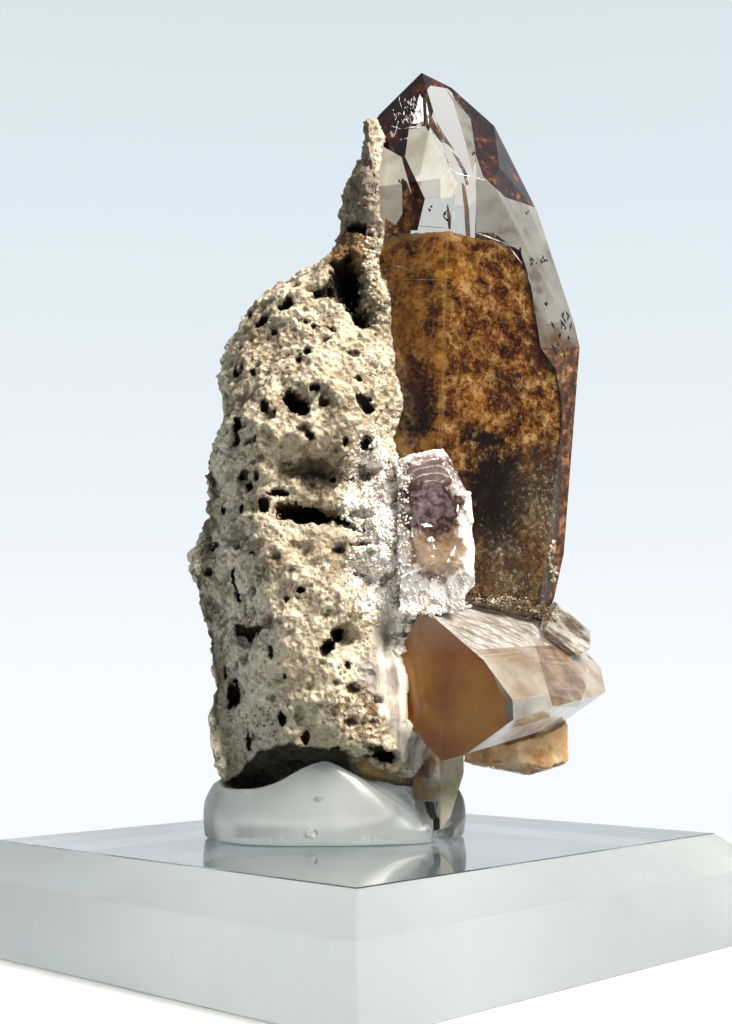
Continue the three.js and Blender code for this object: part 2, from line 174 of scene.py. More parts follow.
def painted_over(tree, colour, layers):
    """A colour with layers over it. Each is (mask, where it starts, where it is full, colour, how opaque)."""
    for mask, low, high, layer_colour, opaque in layers:
        limits = {"Value": mask, "From Min": low, "From Max": high, "To Min": 0.0, "To Max": opaque}
        amount = add(tree, "ShaderNodeMapRange", limits)
        if isinstance(layer_colour, str):
            layer_colour = linear(layer_colour)
        sides = {"Factor": amount, "A": colour, "B": layer_colour}
        colour = add(tree, "ShaderNodeMix", sides, data_type="RGBA")
    return next(s for s in colour.outputs if s.enabled)


def mottled(name, noise, stops, absorbs=None, **shader_values):
    """A material whose colour wanders between stops with one noise, which is given by its inputs."""
    material, tree, shader, mm = new_material(name, absorbs, **shader_values)
    wander = add(tree, "ShaderNodeTexNoise", {"Vector": mm, **noise})
    colour = add(tree, "ShaderNodeValToRGB", {"Fac": wander}, stops=stops)
    tree.links.new(colour.outputs[0], shader.inputs["Base Color"])
    return material


print("light bends by", TOPAZ_IOR, "in topaz and", ACRYLIC_IOR, "in acrylic")

# %% [markdown]
# ## Helpers for meshes
# A CAD node arrives as loose triangles. A copy of it is merged into one closed surface before anything is
# done to its shape. The node itself is never touched.

# %% Helpers for meshes
DOUBLED = 0.0005 * MM
NEARLY_FLAT = math.radians(0.4)


def new_piece(name, mesh, *materials):
    piece = bpy.data.objects.new(name, mesh)
    bpy.context.scene.collection.objects.link(piece)
    for material in materials:
        mesh.materials.append(material)
    return piece


def merged(node):
    """A CAD node as a bmesh, with its doubled corners joined and its flat faces whole."""
    shape = bmesh.new()
    shape.from_mesh(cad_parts[node].data)
    bmesh.ops.remove_doubles(shape, verts=shape.verts, dist=DOUBLED)
    bmesh.ops.dissolve_limit(shape, angle_limit=NEARLY_FLAT, verts=shape.verts, edges=shape.edges)
    return shape


def as_mesh(shape, name):
    mesh = bpy.data.meshes.new(name)
    shape.to_mesh(mesh)
    shape.free()
    return mesh


def settled(piece):
    """Makes the piece's modifiers part of its mesh."""
    made = piece.evaluated_get(bpy.context.evaluated_depsgraph_get())
    mesh = bpy.data.meshes.new_from_object(made)
    mesh.name = piece.name
    piece.modifiers.clear()
    piece.data = mesh
    return piece


def skinned(piece, voxel):
    """Gives a piece an even skin of small faces, a voxel apart."""
    skin = piece.modifiers.new("skin", "REMESH")
    skin.mode = "VOXEL"
    skin.voxel_size = voxel
    return settled(piece)


def remeshed(node, name, voxel):
    return skinned(new_piece(name, as_mesh(merged(node), name)), voxel)


print("corners closer than", round(DOUBLED * 1e9), "nm are joined")

# %% [markdown]
# ### Corners as numbers
# A piece of 100,000 corners is too slow to shape one by one in Python. So its corners are read as one array,
# moved together with NumPy, and written back. A value for each corner that a material reads later, such as
# how deep it lies in a hole, is an attribute.

# %% Helpers that move corners
def corners_of(mesh):
    values = np.empty(len(mesh.vertices) * 3)
    mesh.vertices.foreach_get("co", values)
    return values.reshape(-1, 3)


def normals_of(mesh):
    values = np.empty(len(mesh.vertices) * 3)
    mesh.vertex_normals.foreach_get("vector", values)
    return values.reshape(-1, 3)


def move_corners(mesh, points):
    mesh.vertices.foreach_set("co", points.ravel())
    mesh.update()


def in_specimen_mm(points):
    """Points of the scene as right, away and up on the specimen, in millimetres."""
    return points @ DIRECTIONS.T / MM


def smooth_step(low, high, value):
    share = np.clip((value - low) / (high - low), 0, 1)
    return share * share * (3 - 2 * share)


def write_attribute(mesh, name, values):
    layer = mesh.attributes.new(name, "FLOAT", "POINT")
    layer.data.foreach_set("value", values.astype(np.float32))


def smooth(piece):
    """Shades a piece as one curved skin."""
    for face in piece.data.polygons:
        face.use_smooth = True


print("one specimen millimetre to the right is", [round(v * 1000, 2) for v in place(1, 0, 0)], "in the scene")

# %% [markdown]
# ### Search trees
# To know how far a corner of the rock is from a crystal, or where a ray meets it, its faces are sorted into
# a tree. That is much faster than asking every face.

# %% Search trees of the crystals
def tree_of(node):
    shape = merged(node)
    found = BVHTree.FromBMesh(shape)
    shape.free()
    return found


CRYSTALS = ("main_crystal", "lower_crystal", "middle_crystal", "rear_crystal", "foot_crystal")
crystal_trees = [tree_of(node) for node in CRYSTALS]
print("search trees for", len(crystal_trees), "crystals")

# %% [markdown]
# ## The rhyolite's shape
# Rhyolite is a volcanic rock. This one is full of vesicles, the holes that gas left in it. Its CAD solid has
# the lump and the largest holes. A voxel remesh gives it an even skin that is fine enough to carve, and then
# each corner moves: out or in with noise for the rough grain, and in wherever a vesicle opens.

# %% Remesh the rock
ROCK_VOXEL = 0.235 * MM
rock = remeshed("rhyolite_matrix", "rhyolite_rock", ROCK_VOXEL)
rock_points = corners_of(rock.data)
rock_normals = normals_of(rock.data)
rock_mm = in_specimen_mm(rock_points)
print("rock:", len(rock_points), "corners,", len(rock.data.polygons), "faces")

# %% [markdown]
# ### Rough grain
# Noise of several sizes makes the grain. The lava's skin was dragged along as it flowed, which left folds
# with sharp creases between them. The absolute value of a stretched noise has that form.

# %% Grain
def noise_at(points, size, stretch=(1, 1, 1), octaves=3, offset=0.0):
    """Fractal noise of about -1 to 1, whose largest waves are size millimetres."""
    places = points / (np.array(stretch) * size) + offset
    return np.array([noise.fractal(Vector(p), 0.8, 2.1, octaves) for p in places])


FLOW_TURN = math.radians(-28)
flow = rock_mm.copy()
flow[:, 0] = rock_mm[:, 0] * math.cos(FLOW_TURN) - rock_mm[:, 2] * math.sin(FLOW_TURN)
flow[:, 2] = rock_mm[:, 0] * math.sin(FLOW_TURN) + rock_mm[:, 2] * math.cos(FLOW_TURN)
grain = 0.34 * noise_at(rock_mm, 2.6)
folds = np.abs(noise_at(flow, 1.6, stretch=(2.4, 1.2, 0.7), octaves=4, offset=4.0))
grain += 0.5 * (folds - 0.3) + 0.14 * noise_at(flow, 0.9, stretch=(2.0, 1, 0.8), offset=4.0)
grain += 0.11 * noise_at(rock_mm, 0.5, octaves=2, offset=9.0)
grain *= 0.42 + 0.58 * smooth_step(22.0, 34.0, rock_mm[:, 2])
print("grain from", round(float(grain.min()), 2), "to", round(float(grain.max()), 2), "mm")

# %% [markdown]
# ### Rind
# Beside the lower crystal a thin rind of clouded topaz coats the rock, and it is smoother than the rock. A
# mask follows its ragged left edge, and takes most of the grain away inside it.

# %% Rind
RIND_UP = (15.3, 18.0, 21.0, 27.0, 28.5)
RIND_LEFT = (4.4, 2.9, 1.9, 1.6, 2.4)
past_rind_edge = rock_mm[:, 0] - np.interp(rock_mm[:, 2], RIND_UP, RIND_LEFT)
ragged = 1.1 * noise_at(rock_mm, 1.8, octaves=4, offset=71.0)
rind = smooth_step(-0.6, 0.8, past_rind_edge + ragged)
rind *= smooth_step(14.6, 15.4, rock_mm[:, 2]) * smooth_step(28.8, 27.8, rock_mm[:, 2])
rind *= smooth_step(-4.0, -6.0, rock_mm[:, 1])
grain *= 1 - 0.72 * rind
print("corners in the rind:", int((rind > 0.5).sum()))

# %% [markdown]
# ### Vesicles
# A vesicle is a bubble, so a corner that lies inside one moves in by as much as a sphere is deep there.
# The bubbles are the cells of a Voronoi pattern, and each has its own size. On the left side they were drawn
# out upwards while the lava still flowed.

# %% Vesicles
def vesicles(points, cell, smallest, largest, stretch):
    """How deep each point lies in a bubble, in millimetres. Cells are cell millimetres apart."""
    depths = np.zeros(len(points))
    for i, point in enumerate(points / (np.array(stretch) * cell)):
        distances, centres = noise.voronoi(Vector(point))
        centre = centres[0]
        # a bubble's size is a number from 0 to 1 that its centre always gives again
        size_share = (math.sin(centre.x * 12.9 + centre.y * 78.2 + centre.z * 37.7) * 43758.5) % 1
        radius = smallest + (largest - smallest) * size_share**2
        if distances[0] < radius:
            depths[i] = cell * math.sqrt(radius * radius - distances[0] ** 2)
    return depths


drawn_out = smooth_step(-5.0, -9.0, rock_mm[:, 0])
bubbles = 1.1 * vesicles(rock_mm, 2.3, 0.05, 0.34, (1.2, 1, 0.8)) * (1 - 0.6 * drawn_out)
bubbles += 0.9 * vesicles(rock_mm + 40, 1.1, 0.06, 0.42, (1.25, 1, 0.8)) * (1 - 0.5 * drawn_out)
bubbles += 1.5 * drawn_out * vesicles(rock_mm + 90, 1.2, 0.08, 0.38, (0.7, 0.7, 2.0))
bubbles *= 1 - rind
print("share of the skin in a bubble:", round(float((bubbles > 0.05).mean()), 3))

# %% [markdown]
# ### Large forms of the front
# Between its upper dome and its lower lump the rock steps back, and it has broad hollows. Its left part turns
# away from the front. These forms only push the surface back. How far a corner moves shrinks evenly towards
# the back of the rock, so nothing folds.

# %% Dents, ridge and bulges
# right, up, half width, half height, depth, lean of the long side in degrees
DENTS = [
    (-2.6, 40.1, 5.4, 2.2, 2.2, -8),
    (-3.4, 40.6, 1.5, 1.1, 1.6, 20),
    (1.3, 40.3, 1.6, 0.9, 2.0, 22),
    (-4.2, 36.8, 2.8, 1.0, 1.6, -8),
    (-0.2, 57.6, 1.2, 2.8, 3.4, 14),
    (1.0, 54.2, 1.3, 1.3, 2.4, -30),
    (-4.4, 33.2, 1.0, 1.0, 1.0, -35),
    (0.5, 31.2, 1.6, 0.9, 1.5, -22),
    (-0.9, 35.4, 2.0, 0.5, 0.9, -22),
    (-5.8, 47.2, 1.2, 2.8, 0.6, 10),
    (-8.8, 27.2, 1.8, 1.1, 0.8, -30),
    (-12.3, 34.0, 0.9, 0.7, 1.2, 30),
    (-6.6, 14.4, 4.6, 1.7, 1.5, 16),
]
RIDGE_UP = (14, 19, 25, 30, 37, 44, 51, 56)
RIDGE_RIGHT = (-4.6, -4.9, -5.6, -6.2, -8.0, -9.4, -10.0, -9.0)
TURN_AWAY = 0.62

# right, up, half width, half height, how far forward, lean
BULGES = [
    (3.0, 36.2, 1.5, 5.6, 1.5, 0),
    (4.6, 19.4, 1.2, 2.6, 0.7, 0),
    (4.2, 28.4, 1.6, 1.6, 1.6, 0),
]

print(len(DENTS), "dents and", len(BULGES), "bulges")

# %% [markdown]
# ### How thick the rock is
# A ray from the front and one from behind find where the rock begins and ends at each corner's place.

# %% Thickness of the rock
FAR_OFF = 30

skin_of_rock = BVHTree.FromPolygons(
    [Vector(p) for p in rock_points], [tuple(f.vertices) for f in rock.data.polygons]
)
front_at = np.empty(len(rock_mm))
back_at = np.empty(len(rock_mm))
for i, (right, away, up) in enumerate(rock_mm):
    front = skin_of_rock.ray_cast(place(right, -FAR_OFF, up), AWAY)[0]
    back = skin_of_rock.ray_cast(place(right, FAR_OFF, up), -AWAY)[0]
    front_at[i] = AWAY @ front / MM if front else away
    back_at[i] = AWAY @ back / MM if back else away
thickness = np.maximum(back_at - front_at, 0.5)
behind = rock_mm[:, 1] - front_at
towards_front = np.clip(1 - behind / thickness, 0, 1)
print("the rock is up to", round(float(thickness.max()), 1), "mm thick")

# %% [markdown]
# ### How far the front moves
# Each dent and bulge is an oval that fades towards its edge. Left of the ridge the front turns away evenly.
# Nothing moves by more than a part of the rock's thickness.

# %% Push the front back
def shares_of(spots, points):
    """How far each point lies inside each of a list of ovals: 0 in the middle and 1 at the edge."""
    for right, up, half_width, half_height, depth, lean in spots:
        across, along = points[:, 0] - right, points[:, 2] - up
        cos, sin = math.cos(math.radians(lean)), math.sin(math.radians(lean))
        wide = (across * cos + along * sin) / half_width
        tall = (along * cos - across * sin) / half_height
        yield np.hypot(wide, tall), depth


dents = np.zeros(len(rock_mm))
uneven = 0.32 * noise_at(rock_mm, 1.6, octaves=4, offset=23.0)
for ring, depth in shares_of(DENTS, rock_mm):
    dents += depth * np.exp(-1.3 * np.maximum(ring + uneven, 0) ** 2)
ridge = np.interp(rock_mm[:, 2], RIDGE_UP, RIDGE_RIGHT) + 0.5 * noise_at(rock_mm, 5.0, offset=60.0)
ridge += 0.9 * noise_at(rock_mm, 1.9, offset=64.0)
left_of_ridge = np.logaddexp(0, 1.6 * (ridge - rock_mm[:, 0])) / 1.6
turned = np.minimum(TURN_AWAY * left_of_ridge, 0.4 * thickness)
pushed = np.minimum(dents + turned, 0.6 * thickness) * towards_front
bulged = np.zeros(len(rock_mm))
for ring, forward in shares_of(BULGES, rock_mm):
    bulged += forward * np.exp(-1.3 * np.maximum(ring + uneven, 0) ** 2) * towards_front
print("the front moves back by up to", round(float(pushed.max()), 1), "mm")

# %% [markdown]
# ### Caves
# The large holes each have a place, a size and a depth. Their outline is made uneven with noise, and their
# walls run straight back from the front, which leaves them dark inside.

# %% Caves
# right, up, half width, half height, depth, lean of the long side in degrees
CAVES = [
    (-4.9, 46.1, 1.25, 0.62, 3.0, -32),
    (-4.3, 45.6, 0.60, 0.70, 2.6, 0),
    (-3.1, 47.3, 0.38, 0.36, 1.4, 0),
    (-2.4, 46.0, 0.52, 0.46, 0.6, 0),
    (-7.4, 45.8, 0.30, 0.62, 1.2, 10),
    (-6.6, 45.2, 0.20, 0.20, 0.8, 0),
    (-9.9, 44.6, 0.42, 0.70, 1.6, 8),
    (-9.9, 43.4, 0.30, 0.60, 1.4, -8),
    (-10.3, 49.6, 0.24, 0.48, 1.0, 0),
    (-8.6, 49.2, 0.22, 0.34, 0.8, 0),
    (1.2, 42.7, 0.50, 0.60, 1.8, 0),
    (0.9, 46.3, 0.60, 0.48, 1.2, 0),
    (1.4, 45.6, 0.60, 0.42, 1.4, -20),
    (0.6, 48.3, 0.36, 0.34, 0.9, 0),
    (-2.6, 56.3, 0.95, 0.42, 1.6, 16),
    (-1.9, 56.5, 0.50, 0.50, 1.8, 0),
    (-5.5, 55.3, 0.42, 0.62, 1.6, -24),
    (-6.1, 55.0, 0.60, 0.26, 1.2, 10),
    (-7.9, 54.0, 0.66, 0.36, 1.4, 35),
    (-6.8, 52.8, 0.26, 0.20, 0.8, 0),
    (-3.0, 52.9, 0.46, 0.30, 1.0, -10),
    (-4.2, 53.6, 0.55, 0.18, 0.6, 0),
    (-3.8, 50.6, 0.32, 0.32, 0.9, -30),
    (-4.5, 50.0, 0.34, 0.36, 0.6, 0),
    (-1.9, 52.9, 0.50, 0.22, 0.6, -20),
    (-0.5, 57.4, 1.20, 2.30, 2.6, 12),
    (0.7, 62.4, 1.00, 0.45, 1.4, -6),
    (1.0, 54.3, 0.80, 0.90, 2.0, -30),
    (-3.6, 43.1, 0.40, 0.34, 1.2, 0),
    (-0.6, 42.6, 0.22, 0.38, 0.9, -20),
    (-8.2, 43.0, 0.20, 0.20, 0.8, 0),
    (-9.4, 40.3, 0.36, 0.46, 1.4, 0),
    (-8.9, 39.3, 0.24, 0.48, 1.1, 0),
    (-8.2, 40.0, 0.26, 0.36, 1.0, 0),
    (-1.7, 39.6, 0.20, 0.20, 0.9, 0),
    (-7.6, 37.5, 0.50, 0.58, 1.4, 0),
    (-6.4, 38.5, 1.00, 0.26, 1.2, 0),
    (-4.9, 36.9, 1.60, 0.70, 3.4, -10),
    (-3.2, 36.5, 1.30, 0.66, 3.2, -6),
    (-1.0, 36.1, 0.80, 0.30, 1.6, -22),
    (-0.1, 35.5, 0.70, 0.24, 1.4, -30),
    (-11.5, 37.7, 0.26, 0.42, 1.0, 0),
    (-9.6, 37.5, 0.26, 0.36, 1.0, 0),
    (0.8, 34.0, 1.10, 0.18, 0.9, 6),
    (-1.0, 33.6, 0.26, 0.26, 0.5, 0),
    (-4.5, 30.1, 0.46, 0.26, 1.3, 20),
    (-5.6, 29.5, 0.24, 0.30, 0.7, 0),
    (-10.2, 31.0, 0.18, 1.30, 1.1, 6),
    (-8.7, 33.5, 0.18, 0.16, 0.7, 0),
    (-13.0, 32.3, 0.26, 0.46, 0.8, 0),
    (-12.2, 34.4, 0.50, 0.26, 0.9, 30),
    (-9.8, 27.0, 0.60, 0.50, 1.1, -40),
    (-8.9, 26.6, 0.44, 0.62, 1.4, 20),
    (-8.3, 27.1, 0.34, 0.42, 1.2, 0),
    (-7.0, 25.0, 0.16, 0.60, 0.8, 4),
    (-1.4, 26.4, 0.56, 0.50, 2.0, 20),
    (-2.2, 25.3, 0.40, 0.80, 2.6, -34),
    (-0.6, 23.9, 0.30, 0.28, 0.9, 0),
    (-5.8, 23.0, 0.20, 0.24, 0.8, 0),
    (-10.7, 21.5, 0.50, 1.10, 2.2, 0),
    (-11.5, 23.4, 0.18, 0.60, 0.8, 10),
    (-6.1, 19.4, 0.24, 0.85, 1.3, 12),
    (-9.2, 17.4, 0.18, 0.70, 1.0, 4),
    (-4.1, 17.9, 0.34, 0.52, 1.2, -10),
    (-1.6, 17.1, 0.36, 0.14, 0.9, 8),
    (2.0, 21.0, 0.34, 0.30, 0.6, -40),
    (2.3, 16.4, 1.00, 0.55, 2.4, -30),
]

cave_depths = np.zeros(len(rock_mm))
edge_noise = 0.5 * noise_at(rock_mm, 0.8, octaves=4, offset=17.0)
for ring, depth in shares_of(CAVES, rock_mm):
    hole = depth * smooth_step(1.12, 0.78, ring + edge_noise)
    cave_depths = np.maximum(cave_depths, hole * (behind < 2.5))
print(len(CAVES), "caves,", int((cave_depths > 0.1).sum()), "corners in them")

# %% [markdown]
# ### Where the rock meets the crystals
# The crystals grew in the rock, so the two touch everywhere. Corners that lie within a hair of a crystal go
# to its face and just past it, and the carving fades out there.

# %% Carve the rock and close it on the crystals
# how near a crystal the rock closes on it, how far it goes in, and how far from it the rock is bleached
CONTACT = 0.55
SUNK = 0.06
BLEACHED = 1.9
# the spur at the top is narrower than its solid: how far right it reaches at each height
SPUR_UP = (58.0, 62.0, 66.0, 69.0, 71.4)
SPUR_RIGHT = (3.6, 3.4, 3.0, 2.6, 2.2)

gap = np.full(len(rock_points), 9.0)
contact = rock_points.copy()
for i, point in enumerate(rock_points):
    for found in crystal_trees:
        spot, normal, _, distance = found.find_nearest(Vector(point), BLEACHED * MM)
        if spot is not None and distance / MM < gap[i]:
            gap[i] = distance / MM
            contact[i] = spot - normal * SUNK * MM
touching = smooth_step(CONTACT, CONTACT - 0.15, gap)
free = 1 - 0.85 * touching
moved = rock_points + (contact - rock_points) * touching[:, None]
moved += rock_normals * ((grain - bubbles) * free * MM)[:, None]
moved += np.array(AWAY)[None, :] * ((cave_depths + pushed) * free * MM)[:, None]
moved -= np.array(AWAY)[None, :] * (bulged * MM)[:, None]
spur_limit = np.interp(rock_mm[:, 2], SPUR_UP, SPUR_RIGHT)
narrowed = 1.2 * smooth_step(-1.5, 1.0, rock_mm[:, 0] - spur_limit)
narrowed *= smooth_step(60.5, 64.0, rock_mm[:, 2])
narrowed *= smooth_step(4.5, 2.0, behind)
moved -= np.array(RIGHT)[None, :] * (narrowed * MM)[:, None]
# a last jitter of each corner gives the skin its grit
jitter = np.random.default_rng(5).normal(0, 0.028 * MM, moved.shape)
moved += jitter * (free * (1 - 0.8 * rind))[:, None]
move_corners(rock.data, moved)
print("rock closed on the crystals at", int((touching > 0.5).sum()), "corners")

# %% [markdown]
# ### Where the rock's finish changes
# The rock isn't the same all over: it is bleached beside the crystals, white with grains in two places, grey
# or stained in others, dark under its lip and rusty at its foot. The dark under the lip is painted shade over
# its dark brown, as is the dark of its holes, dents and low grain and part of the grey. The side turned from
# the lamp and part of the cream carry painted fill light. Each of these is a mask from 0 to 1, kept as an
# attribute for the material and the grains.

# %% Masks on the rock
# the lip over the gel: how high it is at each place from left to right
LIP_RIGHT = (-13.0, -10.4, -8.4, -5.6, -4.2, -0.8, 1.5, 4.0)
LIP_UP = (13.2, 14.4, 16.6, 17.5, 17.2, 17.0, 15.6, 14.2)


def near(right, away, up, reach, height):
    """1 within reach of a place, and 0 well outside it."""
    offset = (rock_mm - np.array([right, away, up])) / np.array([1.0, 1.2, height])
    return smooth_step(reach, 0.5 * reach, np.linalg.norm(offset, axis=1))


rim = smooth_step(BLEACHED, 0.6, gap) * (0.45 + 0.55 * smooth_step(30, 24, rock_mm[:, 2]))
snow = np.maximum(near(3.0, -9.0, 38.0, 4.6, 1.5), near(3.0, -9.5, 31.5, 4.2, 1.3))
cream_rim = near(5.0, -10.0, 18.6, 3.0, 1.8)
druse = near(2.2, -5.5, 57.5, 3.0, 1.9) * smooth_step(0.4, 1.4, rock_mm[:, 0])
lip = np.interp(rock_mm[:, 0], LIP_RIGHT, LIP_UP) + 0.3 * noise_at(rock_mm, 1.5, offset=51.0)
underside = smooth_step(0.35, -0.35, rock_mm[:, 2] - lip)
low, lowest = np.percentile(grain, (42, 6))
stained = np.maximum(0.9 * near(0.8, -8.5, 20.0, 5.2, 0.8), 1.2 * near(-0.2, -5.0, 60.4, 2.8, 1.5))
rock_masks = {
    # how deep a corner lies in a hole, which the material paints near black: painted shade
    "hollow": np.clip((bubbles + cave_depths) * free, 0, 1.5),
    # how deep a dent is, which the material paints dark brown: painted shade
    "recess": np.clip(dents * towards_front, 0, 3) / 3,
    # the low parts of the grain, which the material paints brown: partly brown stain, partly painted shade
    "sunken": smooth_step(low, lowest, grain) * free,
    "bleached": np.maximum(np.maximum(rim, snow), cream_rim),
    # a lobe by the lower crystal, painted cream: partly its cream veil, partly painted fill light
    "cream": near(5.2, -10.0, 17.6, 3.4, 1.8),
    # two grey places: partly the stone's grey tone, partly painted half-shade
    "grey_patch": np.maximum(near(2.0, -9.5, 22.8, 2.8, 1.7), 0.8 * near(1.6, -6.0, 66.5, 3.6, 1.9)),
    # the top of the spur, which the material paints darker: partly its grey-brown tone, partly painted shade
    "spur_tone": smooth_step(59.5, 63.5, rock_mm[:, 2]) * smooth_step(4.6, 2.6, rock_mm[:, 0]),
    # the side turned from the lamp, which the material paints paler: painted fill light
    "shade_side": smooth_step(0.0, 2.5, left_of_ridge),
    "stained": np.maximum(stained, 0.8 * near(-9.0, -8.0, 27.0, 2.6, 1.0)),
    # the band under the lip, which the material paints near black: painted shade over its dark brown
    "underside": underside * smooth_step(1.5, -1.5, rock_mm[:, 0]),
    "rusty_foot": underside * smooth_step(-1.5, 1.5, rock_mm[:, 0]),
    "rind": rind,
    "rind_edge": rind * smooth_step(1.3, 0.6, gap),
}
for name, mask in rock_masks.items():
    write_attribute(rock.data, name, mask)
write_attribute(rock.data, "snow", snow)
write_attribute(rock.data, "druse", druse * free)
print(len(rock_masks), "masks for the rhyolite and 2 for its grains")

# %% [markdown]
# ## Rhyolite as a material
# Weathered rhyolite is dull: fine quartz and feldspar that scatter light every way. It is cream where it is
# clean, tan and pinkish in patches, and iron has stained it brown round the holes. The colour is built from
# noise of two sizes, then stained, then darkened by how deep a corner lies in a hole, which is painted shade.

# %% Patterns in the rhyolite
rhyolite, tree, shader, mm = new_material("weathered_rhyolite", Roughness=0.92)
patches = add(tree, "ShaderNodeTexNoise", {"Vector": mm, "Scale": 0.2, "Detail": 5.0})
patch_stops = [(0.34, "#a5967e"), (0.46, "#c6b89f"), (0.56, "#d9cdb5"), (0.68, "#c2b09c")]
patch_colour = add(tree, "ShaderNodeValToRGB", {"Fac": patches}, stops=patch_stops)
specks = {"Vector": mm, "Scale": 1.5, "Detail": 8.0, "Roughness": 0.74}
specks = add(tree, "ShaderNodeTexNoise", specks)
veins = {"Vector": mm, "Scale": 0.55, "Detail": 9.0, "Roughness": 0.72, "Distortion": 1.2}
veins = add(tree, "ShaderNodeTexNoise", veins)
pores = add(tree, "ShaderNodeTexVoronoi", {"Vector": mm, "Scale": 1.9, "Randomness": 1.0})
pore_size = {"Value": patches, "From Min": 0.4, "From Max": 0.62, "To Min": 0.04, "To Max": 0.3}
pore_size = add(tree, "ShaderNodeMapRange", pore_size)
pore_depth = add(tree, "ShaderNodeMath", {0: pore_size, 1: pores}, operation="SUBTRACT")
print("patches of 5 mm, veins of 2 mm, specks and pores of half a millimetre")

# %% [markdown]
# ### Masks in the rhyolite
# A mask alone would have a soft, even edge. Added to the veins it breaks up, so that what it paints, a stain
# or a painted shade, has a ragged edge.

# %% Masks in the rhyolite
masks = {
    name: add(tree, "ShaderNodeAttribute", attribute_name=name).outputs["Fac"] for name in rock_masks
}
broken_up = {
    name: add(tree, "ShaderNodeMath", {0: veins, 1: 1.2, 2: mask}, operation="MULTIPLY_ADD")
    for name, mask in masks.items()
}
height = add(tree, "ShaderNodeSeparateXYZ", {"Vector": mm}).outputs["Z"]
stain_net = {0: specks, 1: 1.6, 2: masks["stained"]}
stain_net = add(tree, "ShaderNodeMath", stain_net, operation="MULTIPLY_ADD")
drawn_down = add(tree, "ShaderNodeMapping", {"Vector": mm, "Scale": (1.1, 1.1, 0.22)})
cloudy = add(tree, "ShaderNodeTexNoise", {"Vector": drawn_down, "Scale": 1.0, "Detail": 6.0})
rind_stops = [(0.36, "#6c655e"), (0.45, "#8f8881"), (0.54, "#aea69c"), (0.66, "#d2cabe")]
rind_colour = add(tree, "ShaderNodeValToRGB", {"Fac": cloudy}, stops=rind_stops)
print(len(broken_up), "masks broken up by the veins")

# %% [markdown]
# ### Layers of colour on the rhyolite
# The layers go on in this order: a paler, creamier lower part, partly its own tone and partly painted fill
# light, and painted fill light on the side turned from the lamp; then its own veins and specks, the bleaching
# and the stains; and last the dark of its holes, dents, low grain and underside, which is painted shade.

# %% Colours of the rhyolite
rock_colour = painted_over(
    tree,
    patch_colour,
    [
        # paler and creamier towards the bottom: partly the lower stone's own tone, partly painted fill light
        (height, 34.0, 22.0, "#f2e3c4", 0.65),
        # painted fill light: the side turned from the lamp is painted paler
        (masks["shade_side"], 0.0, 1.0, "#eee8d2", 0.9),
        (veins, 0.51, 0.63, "#8e7452", 0.6),
        # brown in the low grain: partly stain in the hollows, partly painted shade
        (broken_up["sunken"], 0.75, 1.5, "#6e5a3e", 0.6),
        (specks, 0.47, 0.36, "#5e4d38", 0.75),
        (specks, 0.56, 0.70, "#f2ebdd", 0.6),
        (broken_up["bleached"], 1.0, 1.35, "#ebe5df", 0.85),
        # grey: partly the stone's tone, partly painted half-shade
        (broken_up["grey_patch"], 1.0, 1.5, "#94908f", 0.75),
        # darker grey-brown on the spur: partly its tone, partly painted shade
        (broken_up["spur_tone"], 0.9, 1.7, "#786a56", 0.75),
        (stain_net, 1.64, 1.78, "#6b4818", 0.85),
        # painted shade in the dents, in a dark brown
        (broken_up["recess"], 1.0, 1.5, "#4c3520", 0.75),
        # painted shade: near black in the holes, darker where they are deeper
        (masks["hollow"], 0.1, 0.55, "#2b1a0d", 0.95),
        # dark pores: painted shade in holes too fine for the mesh
        (pore_depth, 0.0, 0.1, "#4a3725", 0.8),
        # cream: partly the veil by the lower crystal, partly painted fill light on a lobe in shade
        (broken_up["cream"], 0.9, 1.4, "#f0e4cf", 0.85),
        (broken_up["rusty_foot"], 0.9, 1.5, "#a8844c", 0.8),
        (masks["rind"], 0.1, 0.8, rind_colour, 0.9),
        (masks["rind_edge"], 0.1, 0.8, "#efe6d8", 0.85),
        # painted shade under the lip, over its dark brown
        (masks["underside"], 0.2, 0.8, "#1a0f08", 0.95),
    ],
)
tree.links.new(rock_colour, shader.inputs["Base Color"])
print("the rock's colour has its ground and 18 layers")

# %% [markdown]
# ### Grit of the rhyolite
# Grit too fine for the mesh is a bump of a third of a millimetre. The rind is smoother and has more gloss.

# %% Grit of the rhyolite
matt = add(tree, "ShaderNodeMapRange", {"Value": masks["rind"], "To Min": 0.92, "To Max": 0.38})
tree.links.new(matt.outputs[0], shader.inputs["Roughness"])
fine = {"Vector": mm, "Scale": 2.6, "Detail": 7.0, "Roughness": 0.72}
fine = add(tree, "ShaderNodeTexNoise", fine)
relief = {0: pore_depth, 1: -1.5, 2: fine}
relief = add(tree, "ShaderNodeMath", relief, operation="MULTIPLY_ADD")
rough_part = {"Value": masks["rind"], "To Min": 1.0, "To Max": 0.12}
rough_part = add(tree, "ShaderNodeMapRange", rough_part)
grit = {"Strength": rough_part, "Distance": 0.34 * MM, "Height": relief}
grit = add(tree, "ShaderNodeBump", grit)
tree.links.new(grit.outputs[0], shader.inputs["Normal"])
rock.data.materials.append(rhyolite)
smooth(rock)
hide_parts("rhyolite_matrix")
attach(rock, "root")
print("rhyolite on", rock.name)

# %% [markdown]
# ## Grains on the rock
# Beside the crystals the rock is crusted with tiny clear and white grains of quartz and topaz. They are the
# same small shape many times over, so geometry nodes strew them: points on the rock where an attribute says
# so, a grain on each, turned and sized at random from a fixed seed.

